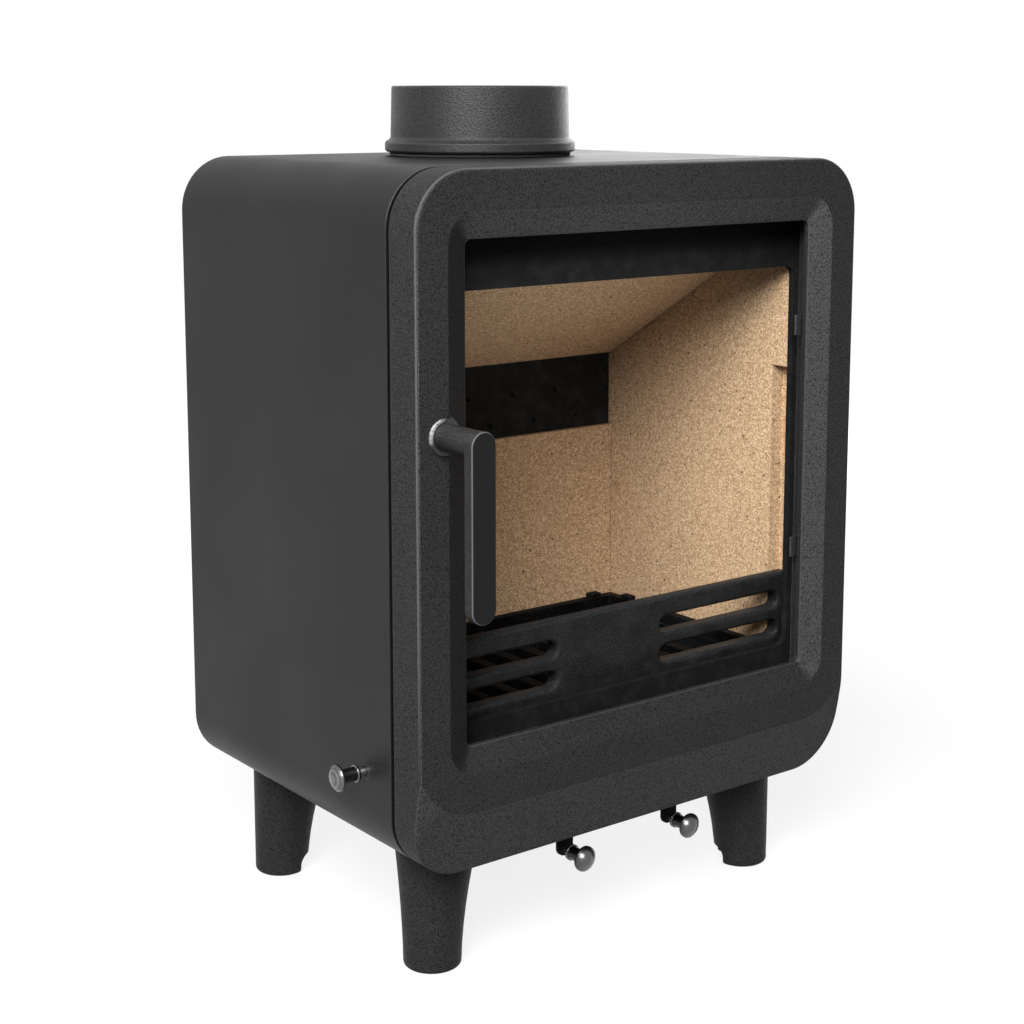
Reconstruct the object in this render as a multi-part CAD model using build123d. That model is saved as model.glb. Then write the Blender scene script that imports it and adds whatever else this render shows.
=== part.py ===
from build123d import *
from math import atan2, cos, degrees, radians, sin, tan
import os

# Free-standing multi-fuel stove. +Z up, floor at z = 0, front faces -Y.
# The origin is on the floor, on the stove's middle plane, halfway between handle and rear edge.

# Overall sizes
stove_width = 400.0
body_height = 472.0
leg_height = 85.5
stove_depth = 309.0
corner_radius = 40.0
handle_reach = 43.5

# Body shell
casing_wall = 5.0
plate_thickness = 5.0
sheet_thickness = 2.5
door_gap = 4.0
rear_recess = 7.0
rear_outlet_height = 468.0
rear_outlet_radius = 60.0
blank_radius = 72.0
blank_thickness = 3.0
blank_bolt_circle = 66.0
blank_bolt_count = 4
screw_radius = 3.0
screw_head_radius = 5.5
screw_head_height = 3.5

# Front plate openings
mouth_half_width = 170.0
mouth_bottom = 179.5
mouth_top = 475.5
mouth_corner = 8.0
ash_door_half_width = 132.0
ash_door_bottom = 104.5
ash_door_top = 148.0
ash_door_corner = 6.0

# Door casting
door_thickness = 29.5
door_skin = 8.0
door_rim = 5.0
facet_edge_height = 130.0
facet_edge_radius = 47.0
facet_depth = 13.5
facet_spread = 50.0
door_edge_round = 2.5
bevel_depth = 7.0
bevel_side = 18.0
bevel_edge_round = 2.5
bevel_corner = 22.0
window_half_width = 157.0
window_bottom = 174.0
window_top = 512.0
window_corner = 5.0
seat_depth = 11.0
seat_width = 7.0
land_width = 6.0
land_depth = 18.5
rope_groove_wall = 2.5
rope_groove_width = 7.0
rope_groove_floor = 22.5
rope_wall_depth = 28.0
rib_thickness = 5.0
rib_count = 3

# Glass, its gasket and its clips
glass_thickness = 4.0
glass_edge_gap = 2.0
glass_gasket_thickness = 1.3
clip_width = 15.0
clip_thickness = 1.5
clip_reach = 1.5
clip_drop_upper = 79.0
clip_rise_lower = 88.5
clip_screw_radius = 2.0
clip_screw_head = 2.0
clip_screw_head_radius = 2.8

# Door rope seal
seal_bottom_margin = 5.0
seal_corner = 14.0
seal_squash_gap = 0.3

# Hinges
hinge_pin_radius = 4.0
hinge_fit = 0.05
hinge_barrel_radius = 8.5
hinge_wall_gap = 1.0
hinge_knuckle_height = 18.0
hinge_knuckle_gap = 0.4
hinge_heights = (185.0, 458.0)
hinge_leaf_thickness = 4.0
hinge_leaf_length = 24.0
hinge_screw_radius = 2.0
hinge_screw_inset = 6.0
hinge_screw_grip = 4.5

# Handle, spindle and latch
handle_from_edge = 21.0
handle_height = 387.5
handle_bar_width = 19.0
handle_bar_thickness = 8.5
handle_bar_drop = 105.0
handle_arm_radius = 9.2
handle_socket = 14.0
handle_edge_round = 1.5
handle_boss_radius = 13.5
washer_radius = 12.0
washer_thickness = 2.0
spindle_radius = 4.0
spindle_fit = 0.06
bush_wall = 2.5
bush_flange = 1.0
bush_flange_thickness = 2.0
handle_running_gap = 0.3
cam_radius = 12.0
cam_open_reach = 11.5
cam_hub_radius = 6.5
cam_width = 5.0
cam_thickness = 4.0
cam_gap = 1.0
keep_thickness = 3.0
keep_lip = 3.0
keep_height = 11.0
keep_side_gap = 1.0
keep_wall_gap = 2.0
keep_foot_width = 12.0
keep_foot_height = 34.0
keep_screw_radius = 2.0
latch_nut_radius = 7.0
latch_nut_gap = 0.5
latch_nut_height = 3.0
keep_screw_inset = 5.0

# Flue collar
flue_bore_radius = 63.5
flue_wall = 4.0
flue_draft = 1.0
flue_from_rear = 106.0
flue_collar_height = 49.5
flue_ledge_radius = 61.0
flue_ring_radius = 72.8
flue_ring_height = 8.5
flue_ring_cove = 2.5
flue_seal_gap = 3.0
flue_seal_radius = 69.5
flue_ring_round = 1.5
flue_rim_edge = 1.0
flue_hole_margin = 1.5
flue_tab_margin = 2.0
flue_lug_width = 18.0
flue_bolt_radius = 3.0
flue_lug_count = 3
flue_lug_depth = 14.0
flue_lug_thickness = 8.0
flue_bolt_sink = 4.5
flue_sink_gap = 0.5

# Legs
leg_foot_radius = 20.5
leg_top_radius = 29.0
leg_foot_inset_x = 49.8
leg_foot_from_door = 58.5
leg_foot_from_rear = 43.0
leg_flare = 1.7
leg_steps = 6
leg_wall = 4.5
leg_cavity_height = 20.0
leg_above_floor = 12.0
leg_bolt_reach = 18.0
leg_bolt_hole_gap = 0.5
leg_notch_height = 13.0
leg_notch_width = 26.0
leg_edge_round = 3.0
leg_bolt_radius = 4.0
foot_pad_radius = 9.0
foot_pad_height = 8.0
foot_stud_radius = 4.0
foot_stud_top = 40.0

# Firebricks and baffle
brick_thickness = 22.0
brick_back_gap = 1.0
brick_base = 160.0
side_brick_top = 500.0
brick_front_gap = 2.0
rear_duct_room = 25.5
rear_brick_thickness = 25.0
rear_brick_top = 324.0
brick_joint = 0.5
brick_notch_depth = 12.0
brick_notch_length = 15.5
brick_notch_top = 397.0
baffle_thickness = 25.0
baffle_rear_height = 386.5
baffle_front_from_door = 88.0
baffle_slope = 31.0
baffle_rear_land = 17.5
baffle_side_gap = 2.0
hanger_width = 20.0
hanger_from_middle = 140.0
hanger_ledge = 12.0
hanger_lip = 10.0
hanger_foot = 15.0

# Air ducts
air_plate_set_back = 4.0
air_hole_radius = 2.0
air_hole_pitch = 45.0
air_hole_rows = (359.0, 335.0)
duct_brick_gap = 2.0
duct_wall = 2.0
airwash_brick_gap = 1.0
airwash_top = 517.5
airwash_depth = 20.0
airwash_slot_height = 4.5
airwash_slot_length = 96.0
airwash_slot_centre = 511.8
airwash_slot_pitch = 106.0
corner_duct_width = 20.0
corner_duct_height = 12.0
corner_duct_depth = 18.0
corner_duct_gap = 3.0
corner_riser_bottom = 200.0
air_box_height = 13.0
air_box_left = 12.0
air_box_right = 112.0
air_box_from_plate = 21.5

# Grate, log guard and ash pan
shelf_thickness = 4.0
shelf_window_half_width = 160.0
shelf_window_front = 74.0
shelf_window_from_brick = 32.5
shelf_rear_gap = 1.0
grate_land_rise = 5.5
grate_rim_rise = 10.0
grate_rim_width = 7.0
grate_frame_gap = 0.8
grate_well_half_width = 139.0
grate_bevel = 12.0
grate_well_front = 84.0
grate_well_from_brick = 42.5
grate_lug_height = 3.5
grate_lug_width = 11.0
grate_lug_inset = 22.0
grate_lug_from_rear = 22.0
grate_ledge = 10.0
riddle_travel = 8.0
riddle_rest_offset = 3.0
riddle_plate_thickness = 7.0
riddle_side_gap = 1.5
riddle_bar_count = 11
riddle_bar_width = 9.0
riddle_bar_rise = 1.5
riddle_skirt = 11.0
guard_from_door = 44.5
guard_thickness = 11.0
guard_height = 74.0
guard_end_gap = 3.0
guard_slot_inner = 49.0
guard_slot_end_wall = 9.0
guard_slot_height = 12.4
guard_slot_drop = 21.0
guard_slot_pitch = 22.5
guard_slot_round = 3.0
guard_edge_round = 3.0
ash_pan_height = 38.0
ash_pan_from_brick = 17.0
ash_pan_wall = 1.5
ash_pan_gap = 4.0
ash_pan_floor_gap = 1.0
ash_pan_lip = 5.0
ash_pan_grip = 40.0
ash_pan_side_gap = 0.6
runner_side = 10.0
runner_ledge = 12.0

# Riddling rod
riddle_from_door = 66.5
riddle_rod_drop = 10.5
riddle_rod_radius = 3.0
riddle_hole_gap = 0.5
riddle_rod_inner_end = 100.0
riddle_rod_in_knob = 10.0
riddle_knob_clear = 6.0
riddle_bush_wall = 2.0
riddle_yoke_width = 12.0
riddle_yoke_thickness = 4.0
riddle_peg_length = 8.0

# Turned knobs, shared by all three controls
knob_radius = 9.3
knob_head = 5.2
knob_dome = 4.0
knob_edge_round = 0.6
knob_neck_radius = 5.1
knob_waist_radius = 4.8
knob_neck = 13.0
knob_collar_radius = 5.9
knob_collar = 1.6

# Air slides
air_slide_spacing = 100.5
air_slide_width = 14.0
air_slide_thickness = 2.5
air_slide_from_door = 33.5
air_slide_length = 120.0
air_slide_axis_drop = 18.8
air_slide_gap = 0.4
air_slide_travel = 25.0
air_stud_radius = 2.0
air_stud_show = 6.6
air_stud_in_knob = 6.0
air_nut_height = 2.4
air_nut_radius = 3.8
air_port_length = 22.0
air_port_width = 9.0
air_port_from_front = 38.0
tab_corner = 6.0
tab_below_stud = 4.6
guide_thickness = 2.5
guide_ledge = 3.0
guide_start = 28.0
guide_length = 80.0

# Derived places
half_width = stove_width / 2
body_bottom = leg_height
body_top = leg_height + body_height
door_front = -(stove_depth - handle_reach) / 2
door_back = door_front + door_thickness
body_front = door_back + door_gap
body_rear = door_front + stove_depth
inner_half_width = half_width - casing_wall
inner_bottom = body_bottom + casing_wall
inner_top = body_top - casing_wall
inner_radius = corner_radius - casing_wall
plate_back = body_front + plate_thickness
panel_rear = body_rear - rear_recess
panel_front = panel_rear - plate_thickness
brick_face = inner_half_width - brick_back_gap - brick_thickness
brick_front = plate_back + brick_front_gap
rear_brick_back = panel_front - rear_duct_room
rear_brick_front = rear_brick_back - rear_brick_thickness
air_plate_front = rear_brick_front + air_plate_set_back
duct_half_width = brick_face - brick_joint
baffle_front_y = door_front + baffle_front_from_door
shelf_top = brick_base
shelf_bottom = brick_base - shelf_thickness
window_front_y = door_front + shelf_window_front
window_rear_y = rear_brick_front - shelf_window_from_brick
well_front_y = door_front + grate_well_front
well_rear_y = rear_brick_front - grate_well_from_brick
grate_land_height = shelf_top + grate_land_rise
grate_rim_height = grate_land_height + grate_rim_rise
riddle_bar_top = grate_land_height + riddle_bar_rise
riddle_plate_low = riddle_bar_top - riddle_plate_thickness
riddle_height = riddle_plate_low - riddle_rod_drop
guard_front = door_front + guard_from_door
guard_half_width = brick_face + brick_notch_depth - guard_end_gap
guard_slot_outer = guard_half_width - guard_slot_end_wall
guard_top = brick_base + guard_height
guard_slot_upper = guard_top - guard_slot_drop
guard_slot_lower = guard_slot_upper - guard_slot_pitch
ash_pan_half_width = ash_door_half_width - ash_pan_gap
ash_pan_base = ash_door_bottom + ash_pan_floor_gap
ash_pan_front = plate_back + ash_pan_floor_gap
ash_pan_rear = rear_brick_front - ash_pan_from_brick
air_box_top = inner_bottom + air_box_height
air_box_rear = rear_brick_back + duct_brick_gap + sheet_thickness
air_box_front = plate_back + air_box_from_plate
airwash_half_width = inner_half_width - brick_back_gap / 2
airwash_bottom = side_brick_top + airwash_brick_gap
airwash_slot_places = [k * airwash_slot_pitch for k in (-1, 0, 1)]
corner_duct_bottom = side_brick_top + corner_duct_gap
corner_duct_top = corner_duct_bottom + corner_duct_height
corner_riser_front = rear_brick_back + duct_brick_gap
seat_half_width = window_half_width + seat_width
land_half_width = seat_half_width + land_width
groove_inner = land_half_width + rope_groove_wall
groove_outer = groove_inner + rope_groove_width
seal_top = window_top + seat_width + land_width + rope_groove_wall
seal_bottom = ash_door_bottom - seal_bottom_margin
hollow_bottom = facet_edge_height + rib_thickness * 4
glass_front = door_front + seat_depth + glass_gasket_thickness
clip_screw_x = seat_half_width + land_width / 2
clip_screw_tip = seat_depth + 1
handle_x = -(half_width - handle_from_edge)
handle_arm_end = door_front - handle_running_gap - washer_thickness
bush_radius = spindle_radius + spindle_fit + bush_wall
keep_lip_front = door_front + door_skin + cam_gap
cam_front = keep_lip_front + keep_lip + cam_gap
cam_sweep = cam_radius + cam_gap
cam_back = cam_front + cam_thickness
latch_nut_back = cam_back + latch_nut_height
keep_tip = handle_x - cam_width / 2 - keep_side_gap
keep_screw_x = -inner_half_width + keep_wall_gap + keep_foot_width / 2
hinge_x = half_width + hinge_wall_gap + hinge_barrel_radius
hinge_y = (door_back + body_front) / 2
body_leaf_end = hinge_y + hinge_leaf_length
door_leaf_end = hinge_y - hinge_leaf_length
flue_y = body_rear - flue_from_rear
flue_base = body_top + flue_seal_gap
flue_rim_height = flue_base + flue_collar_height
leg_front_y = door_front + leg_foot_from_door
leg_rear_y = body_rear - leg_foot_from_rear
leg_x = half_width - leg_foot_inset_x
riddle_y = door_front + riddle_from_door
riddle_bush_radius = riddle_rod_radius + riddle_hole_gap + riddle_bush_wall
riddle_knob_x = -(half_width + riddle_knob_clear)
knob_length = knob_collar + knob_neck + knob_head
air_slide_places = (-air_slide_spacing / 2, air_slide_spacing / 2)
air_slide_y = door_front + air_slide_from_door
air_slide_top = body_bottom - air_slide_gap
air_knob_height = body_bottom - air_slide_axis_drop
air_knob_y = air_slide_y - air_stud_show
air_port_y = air_slide_y + air_port_from_front


def front_plane(y):
    """A drawing plane that faces the room: local x is +X and local y is +Z."""
    return Plane(origin=(0, y, 0), x_dir=(1, 0, 0), z_dir=(0, -1, 0))


def slab(outline, y_front, y_back):
    """An outline drawn in x and z, given thickness from y_front to y_back."""
    return extrude(front_plane(y_back) * outline, amount=y_back - y_front)


def side_profile(points, x_low, x_high):
    """A profile drawn in y and z, given width from x_low to x_high."""
    plane = Plane(origin=(x_low, 0, 0), x_dir=(0, 1, 0), z_dir=(1, 0, 0))
    return extrude(plane * make_face(Polyline(*points, close=True)), amount=x_high - x_low)


def block(x_low, x_high, y_low, y_high, z_low, z_high):
    size = Box(x_high - x_low, y_high - y_low, z_high - z_low, align=(Align.MIN, Align.MIN, Align.MIN))
    return Pos(x_low, y_low, z_low) * size


def round_rect(x_half, z_low, z_high, radius):
    return Pos(0, (z_low + z_high) / 2) * RectangleRounded(2 * x_half, z_high - z_low, radius)


def rod_x(x_low, x_high, y, z, radius):
    return Pos((x_low + x_high) / 2, y, z) * Rot(0, 90, 0) * Cylinder(radius, x_high - x_low)


def rod_y(x, y_low, y_high, z, radius):
    return Pos(x, (y_low + y_high) / 2, z) * Rot(90, 0, 0) * Cylinder(radius, y_high - y_low)


def rod_z(x, y, z_low, z_high, radius):
    return Pos(x, y, (z_low + z_high) / 2) * Cylinder(radius, z_high - z_low)


def hex_y(x, y_low, y_high, z, radius):
    return slab(Pos(x, z) * RegularPolygon(radius, 6), y_low, y_high)


def hex_z(x, y, z_low, z_high, radius):
    return extrude(Pos(x, y, z_low) * RegularPolygon(radius, 6), amount=z_high - z_low)


def turned(outline):
    """A profile drawn as radius and height, turned once round the Z axis."""
    return revolve(Plane.XZ * make_face(outline), Axis.Z)


def ring_places(count, radius, first_angle):
    """Points evenly spaced round a circle."""
    angles = [radians(first_angle + 360 * k / count) for k in range(count)]
    return [(radius * cos(a), radius * sin(a)) for a in angles]


# Body shell

def body_prism(y_low, y_high):
    return slab(round_rect(half_width, body_bottom, body_top, corner_radius), y_low, y_high)


def inside_outline():
    return round_rect(inner_half_width, inner_bottom, inner_top, inner_radius)


def at_legs(make):
    """One piece at each leg, turned so that its local -X side faces the middle of the four."""
    middle_y = (leg_front_y + leg_rear_y) / 2
    placed = {}
    for end, y in (("front", leg_front_y), ("rear", leg_rear_y)):
        for side, x in (("left", -leg_x), ("right", leg_x)):
            turn = degrees(atan2(middle_y - y, -x)) + 180
            placed[f"{end}_{side}"] = Pos(x, y, 0) * Rot(0, 0, turn) * make()
    return placed


def flue_hole():
    """The outlet in the casing top, with a tab left under each lug of the collar."""
    hole = rod_z(0, flue_y, inner_top - 1, body_top + 1, flue_bore_radius - flue_hole_margin)
    for lug in flue_lugs(inner_top - 2, body_top + 2, flue_tab_margin):
        hole -= lug
    return hole


def flue_lugs(z_low, z_high, margin):
    reach = flue_lug_depth + margin
    width = flue_lug_width + 2 * margin
    lug = block(flue_bore_radius - reach, flue_bore_radius + 2, -width / 2, width / 2, z_low, z_high)
    return [Pos(0, flue_y, 0) * Rot(0, 0, 90 + 360 * k / flue_lug_count) * lug
            for k in range(flue_lug_count)]


def flue_bolt_places():
    circle = flue_bore_radius - flue_lug_depth / 2
    return [(x, flue_y + y) for x, y in ring_places(flue_lug_count, circle, 90)]


def outer_casing():
    shell = body_prism(body_front, body_rear) - slab(inside_outline(), body_front, body_rear)
    shell -= flue_hole()
    for x, y in flue_bolt_places():
        shell -= rod_z(x, y, inner_top - 1, body_top + 1, flue_bolt_radius)
    shell -= rod_x(-half_width - 1, -inner_half_width + 1, riddle_y, riddle_height, riddle_bush_radius)
    for hole in at_legs(lambda: leg_bolt_hole()).values():
        shell -= hole
    for x in air_slide_places:
        shell -= air_port(x, air_port_y, body_bottom - 1, inner_bottom + 1)
    return shell - body_hinge_screws()


def air_port(x, y_low, z_low, z_high):
    half = air_port_width / 2
    return block(x - half, x + half, y_low, y_low + air_port_length, z_low, z_high)


def front_plate():
    mouth = round_rect(mouth_half_width, mouth_bottom, mouth_top, mouth_corner)
    ash_door = round_rect(ash_door_half_width, ash_door_bottom, ash_door_top, ash_door_corner)
    slots = [Pos(x, airwash_slot_centre) * SlotOverall(airwash_slot_length, airwash_slot_height)
             for x in airwash_slot_places]
    outline = inside_outline() - mouth - ash_door
    for slot in slots:
        outline -= slot
    return slab(outline, body_front, plate_back) - keep_screws()


def rear_panel():
    panel = slab(inside_outline(), panel_front, panel_rear)
    panel -= rod_y(0, panel_front - 1, panel_rear + 1, rear_outlet_height, rear_outlet_radius)
    for x, z in blank_bolt_places():
        panel -= rod_y(x, panel_front - 1, panel_rear + 1, z, screw_radius)
    return panel


def blank_bolt_places():
    return [(x, rear_outlet_height + z) for x, z in ring_places(blank_bolt_count, blank_bolt_circle, 45)]


def rear_blanking_plate():
    plate = rod_y(0, panel_rear, panel_rear + blank_thickness, rear_outlet_height, blank_radius)
    for x, z in blank_bolt_places():
        plate -= rod_y(x, panel_rear - 1, panel_rear + blank_thickness + 1, z, screw_radius)
    return plate


def rear_blanking_bolts():
    head = panel_rear + blank_thickness
    bolts = Part()
    for x, z in blank_bolt_places():
        bolts += rod_y(x, panel_front, head, z, screw_radius) + hex_y(x, head, head + screw_head_height, z,
                                                                      screw_head_radius)
    return bolts


# Flue collar

def flue_collar():
    """A socket for the pipe, which stands on the ledge inside; bolts sunk in the lugs hold the collar."""
    outer_top = flue_bore_radius + flue_wall
    ring_top = flue_base + flue_ring_height
    edge = flue_ring_round
    wall_foot = outer_top + flue_draft
    ledge_top = flue_base + flue_lug_thickness
    collar = Pos(0, flue_y, 0) * turned(Polyline(
        (flue_ledge_radius, flue_base), (flue_ring_radius - edge, flue_base),
        (flue_ring_radius, flue_base + edge), (flue_ring_radius, ring_top - edge),
        (flue_ring_radius - edge, ring_top), (wall_foot + flue_ring_cove / 2, ring_top + flue_ring_cove / 4),
        (wall_foot, ring_top + flue_ring_cove), (outer_top, flue_rim_height - flue_rim_edge),
        (outer_top - flue_rim_edge, flue_rim_height), (flue_bore_radius, flue_rim_height),
        (flue_bore_radius, ledge_top), (flue_ledge_radius, ledge_top), close=True))
    for lug in flue_lugs(flue_base, ledge_top, 0):
        collar += lug
    for x, y in flue_bolt_places():
        collar -= rod_z(x, y, flue_base - 1, ledge_top + 1, flue_bolt_radius)
        collar -= rod_z(x, y, ledge_top - flue_bolt_sink, ledge_top + 1, screw_head_radius + flue_sink_gap)
    return collar


def collar_seal():
    ring = rod_z(0, flue_y, body_top, flue_base, flue_seal_radius)
    return ring - rod_z(0, flue_y, body_top - 1, flue_base + 1, flue_ledge_radius)


def collar_bolts():
    head = flue_base + flue_lug_thickness - flue_bolt_sink
    bolts = Part()
    for x, y in flue_bolt_places():
        bolts += rod_z(x, y, inner_top - 2 * screw_head_height, head, flue_bolt_radius)
        bolts += hex_z(x, y, head, head + screw_head_height, screw_head_radius)
        bolts += hex_z(x, y, inner_top - 1.5 * screw_head_height, inner_top, screw_head_radius)
    return bolts


# Legs

def leg_axis_shift(radius):
    """The outer side of a leg stands upright, so its centre leans inward as it widens."""
    return leg_foot_radius - radius


def leg_bolt_hole():
    return rod_z(leg_axis_shift(leg_top_radius), 0, body_bottom - 1, inner_bottom + 1,
                 leg_bolt_radius + leg_bolt_hole_gap)


def leg_radius(z):
    """A leg flares more and more towards the casing."""
    return leg_foot_radius + (leg_top_radius - leg_foot_radius) * (z / body_bottom) ** leg_flare


def leg_casting():
    heights = [k * body_bottom / leg_steps for k in range(leg_steps + 1)]
    heights.append(body_bottom + leg_above_floor)
    sizes = [(z, leg_radius(z)) for z in heights]
    body = loft([Pos(leg_axis_shift(r), 0, z) * Circle(r) for z, r in sizes], ruled=True)
    body = fillet(body.edges().sort_by(Axis.Z)[0], leg_edge_round)
    body -= rod_z(0, 0, -1, leg_cavity_height, leg_foot_radius - leg_wall)
    reach = leg_foot_radius + 5
    notch = Plane(origin=(-reach, 0, 0), x_dir=(0, 1, 0), z_dir=(1, 0, 0)) * RectangleRounded(
        leg_notch_width, 2 * leg_notch_height, leg_notch_height / 2)
    body -= extrude(notch, amount=reach)
    shift = leg_axis_shift(leg_top_radius)
    body -= rod_z(shift, 0, inner_bottom - leg_bolt_reach, body_bottom + leg_above_floor, leg_bolt_radius)
    return body - rod_z(0, 0, 0, foot_stud_top, foot_stud_radius)


def legs():
    shell = body_prism(door_front, body_rear)
    return {f"leg_{place}": leg - shell for place, leg in at_legs(leg_casting).items()}


def leg_bolt():
    shift = leg_axis_shift(leg_top_radius)
    shank = rod_z(shift, 0, inner_bottom - leg_bolt_reach, inner_bottom, leg_bolt_radius)
    return shank + hex_z(shift, 0, inner_bottom, inner_bottom + screw_head_height, 2 * leg_bolt_radius)


def levelling_foot():
    pad = rod_z(0, 0, 0, foot_pad_height, foot_pad_radius)
    pad = chamfer(pad.edges().sort_by(Axis.Z)[-1], 1.5)
    return pad + rod_z(0, 0, foot_pad_height, foot_stud_top, foot_stud_radius)


def joined(pieces):
    """Several separate solids kept together in one node."""
    group = Part()
    for piece in pieces:
        group += piece
    return group


# Firebricks, baffle and what carries them

def side_brick(side):
    brick = block(brick_face, brick_face + brick_thickness, brick_front, rear_brick_back, brick_base,
                  side_brick_top)
    notch = block(brick_face - 1, brick_face + brick_notch_depth, brick_front - 1,
                  brick_front + brick_notch_length, brick_base - 1, brick_notch_top)
    brick -= notch
    return brick if side > 0 else mirror(brick, Plane.YZ)


def rear_brick():
    half = brick_face - brick_joint
    return block(-half, half, rear_brick_front, rear_brick_back, brick_base, rear_brick_top)


def baffle_underside(y):
    return baffle_rear_height + (rear_brick_front - y) * tan(radians(baffle_slope))


def baffle_plate():
    half = brick_face - baffle_side_gap
    lean_y = baffle_thickness * sin(radians(baffle_slope))
    lean_z = baffle_thickness * cos(radians(baffle_slope))
    rear_y = rear_brick_front + baffle_rear_land
    rear_top = baffle_underside(rear_y - lean_y) + lean_z
    front_low = baffle_underside(baffle_front_y)
    points = ((rear_brick_front, baffle_rear_height), (baffle_front_y, front_low),
              (baffle_front_y + lean_y, front_low + lean_z), (rear_y, rear_top),
              (rear_y, baffle_rear_height))
    return side_profile(points, -half, half)


def baffle_hanger():
    """A folded rail under the front edge of the baffle, hung from the casing top by two straps."""
    half = brick_face - baffle_side_gap
    y = baffle_front_y
    low = baffle_underside(y)
    back = y + hanger_ledge
    ledge = side_profile(((y - sheet_thickness, low), (y, low), (back, baffle_underside(back)),
                          (back, baffle_underside(back) - sheet_thickness),
                          (y - sheet_thickness, low - sheet_thickness)), -half, half)
    lip = block(-half, half, y - sheet_thickness, y, low, low + hanger_lip)
    hanger = ledge + lip
    for x in (-hanger_from_middle, hanger_from_middle):
        left, right = x - hanger_width / 2, x + hanger_width / 2
        hanger += block(left, right, y - sheet_thickness, y, low, inner_top)
        hanger += block(left, right, y - hanger_foot, y, inner_top - sheet_thickness, inner_top)
    return hanger


def rear_air_duct():
    """A folded sheet: it rises behind the rear brick, steps forward over it and closes above."""
    t = sheet_thickness
    back = rear_brick_back + duct_brick_gap
    face = air_plate_front
    low = rear_brick_top + brick_joint
    top = baffle_rear_height
    points = ((back + t, inner_bottom), (back, inner_bottom), (back, low), (face, low), (face, top),
              (panel_front, top), (panel_front, top - t), (face + t, top - t), (face + t, low + t),
              (back + t, low + t))
    duct = side_profile(points, -duct_half_width, duct_half_width)
    duct &= slab(inside_outline(), air_plate_front - 1, panel_front)
    for x, z in air_holes():
        duct -= rod_y(x, face - 1, face + t + 1, z, air_hole_radius)
    return duct - block(air_box_left, air_box_right, back - 1, back + t + 1, inner_bottom - 1, air_box_top)


def air_holes():
    upper, lower = air_hole_rows
    reach = brick_face - air_hole_pitch / 2
    count = int(reach / air_hole_pitch)
    places = [(k * air_hole_pitch, lower) for k in range(-count, count + 1)]
    places += [((k + 0.5) * air_hole_pitch, upper) for k in range(-count - 1, count + 1)]
    return places


def airwash_channel():
    """A folded channel behind the top of the front plate, fed at both ends by the corner ducts."""
    t = sheet_thickness
    back = plate_back + airwash_depth
    points = ((plate_back, airwash_bottom), (back, airwash_bottom), (back, airwash_top),
              (plate_back, airwash_top), (plate_back, airwash_top - t), (back - t, airwash_top - t),
              (back - t, airwash_bottom + t), (plate_back, airwash_bottom + t))
    channel = side_profile(points, -airwash_half_width, airwash_half_width)
    for x_low, x_high in corner_duct_sides():
        channel -= block(x_low, x_high, back - t - 1, back + 1, corner_duct_bottom, corner_duct_top)
    return channel


def corner_duct_sides():
    inner = airwash_half_width - corner_duct_width
    return ((-airwash_half_width, -inner), (inner, airwash_half_width))


def corner_duct_path(x_low, x_high, wall, open_end):
    """One corner duct or, with a wall, the room inside it: up behind a side brick, then forward over it."""
    y_front = plate_back + airwash_depth - open_end
    y_low = corner_riser_front + wall
    y_high = corner_riser_front + corner_duct_depth - wall
    low, top = corner_duct_bottom + wall, corner_duct_top - wall
    run = block(x_low + wall, x_high - wall, y_front, y_high, low, top)
    return run + block(x_low + wall, x_high - wall, y_low, y_high, corner_riser_bottom - open_end, top)


def airwash_ducts():
    ducts = []
    for x_low, x_high in corner_duct_sides():
        outer = corner_duct_path(x_low, x_high, 0, 0)
        ducts.append(outer - corner_duct_path(x_low, x_high, duct_wall, 1))
    return joined(ducts)


def air_box():
    """An upturned tray on the casing floor that leads air from the right slide to the rear duct."""
    t = duct_wall
    box = block(air_box_left, air_box_right, air_box_front, air_box_rear, inner_bottom, air_box_top)
    return box - block(air_box_left + t, air_box_right - t, air_box_front + t, air_box_rear + 1,
                       inner_bottom - 1, air_box_top - t)


# Grate, log guard and ash pan

def grate_shelf():
    shelf = block(-inner_half_width, inner_half_width, plate_back, rear_brick_back + shelf_rear_gap,
                  shelf_bottom, shelf_top)
    return shelf - block(-shelf_window_half_width, shelf_window_half_width, window_front_y, window_rear_y,
                         shelf_bottom - 1, shelf_top + 1)


def grate_frame():
    half = brick_face - grate_frame_gap
    front = guard_front + guard_thickness + grate_frame_gap
    rear = rear_brick_front - grate_frame_gap
    rim = grate_rim_width
    frame = block(-half, half, front, rear, shelf_top, grate_rim_height)
    frame -= block(-half + rim, half - rim, front + rim, rear - rim, grate_land_height, grate_rim_height + 1)
    gap = grate_frame_gap
    lower = shelf_window_half_width - gap
    frame += block(-lower, lower, window_front_y + gap, window_rear_y - gap, shelf_bottom, shelf_top)
    middle_y = (well_front_y + well_rear_y) / 2
    length = well_rear_y - well_front_y
    sink = Pos(0, middle_y, shelf_top) * Rectangle(2 * grate_well_half_width, length)
    mouth = Pos(0, middle_y, grate_land_height) * Rectangle(2 * (grate_well_half_width + grate_bevel),
                                                            length + 2 * grate_bevel)
    frame -= loft([sink, mouth], ruled=True)
    ledge_x = grate_well_half_width - riddle_travel - grate_ledge
    frame -= block(-ledge_x, ledge_x, well_front_y + grate_ledge, well_rear_y - grate_ledge,
                   shelf_bottom - 1, shelf_top + 1)
    for side in (-1, 1):
        x = side * (half - grate_lug_inset)
        lug = block(x - grate_lug_width / 2, x + grate_lug_width / 2, rear - rim, rear, grate_rim_height - 1,
                    grate_rim_height + grate_lug_height)
        side_x = side * (half - rim / 2)
        lug_rear = rear - grate_lug_from_rear
        side_lug = block(side_x - rim / 2, side_x + rim / 2, lug_rear - grate_lug_width, lug_rear,
                         grate_rim_height - 1, grate_rim_height + grate_lug_height)
        frame += lug + side_lug
    return frame


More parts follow.
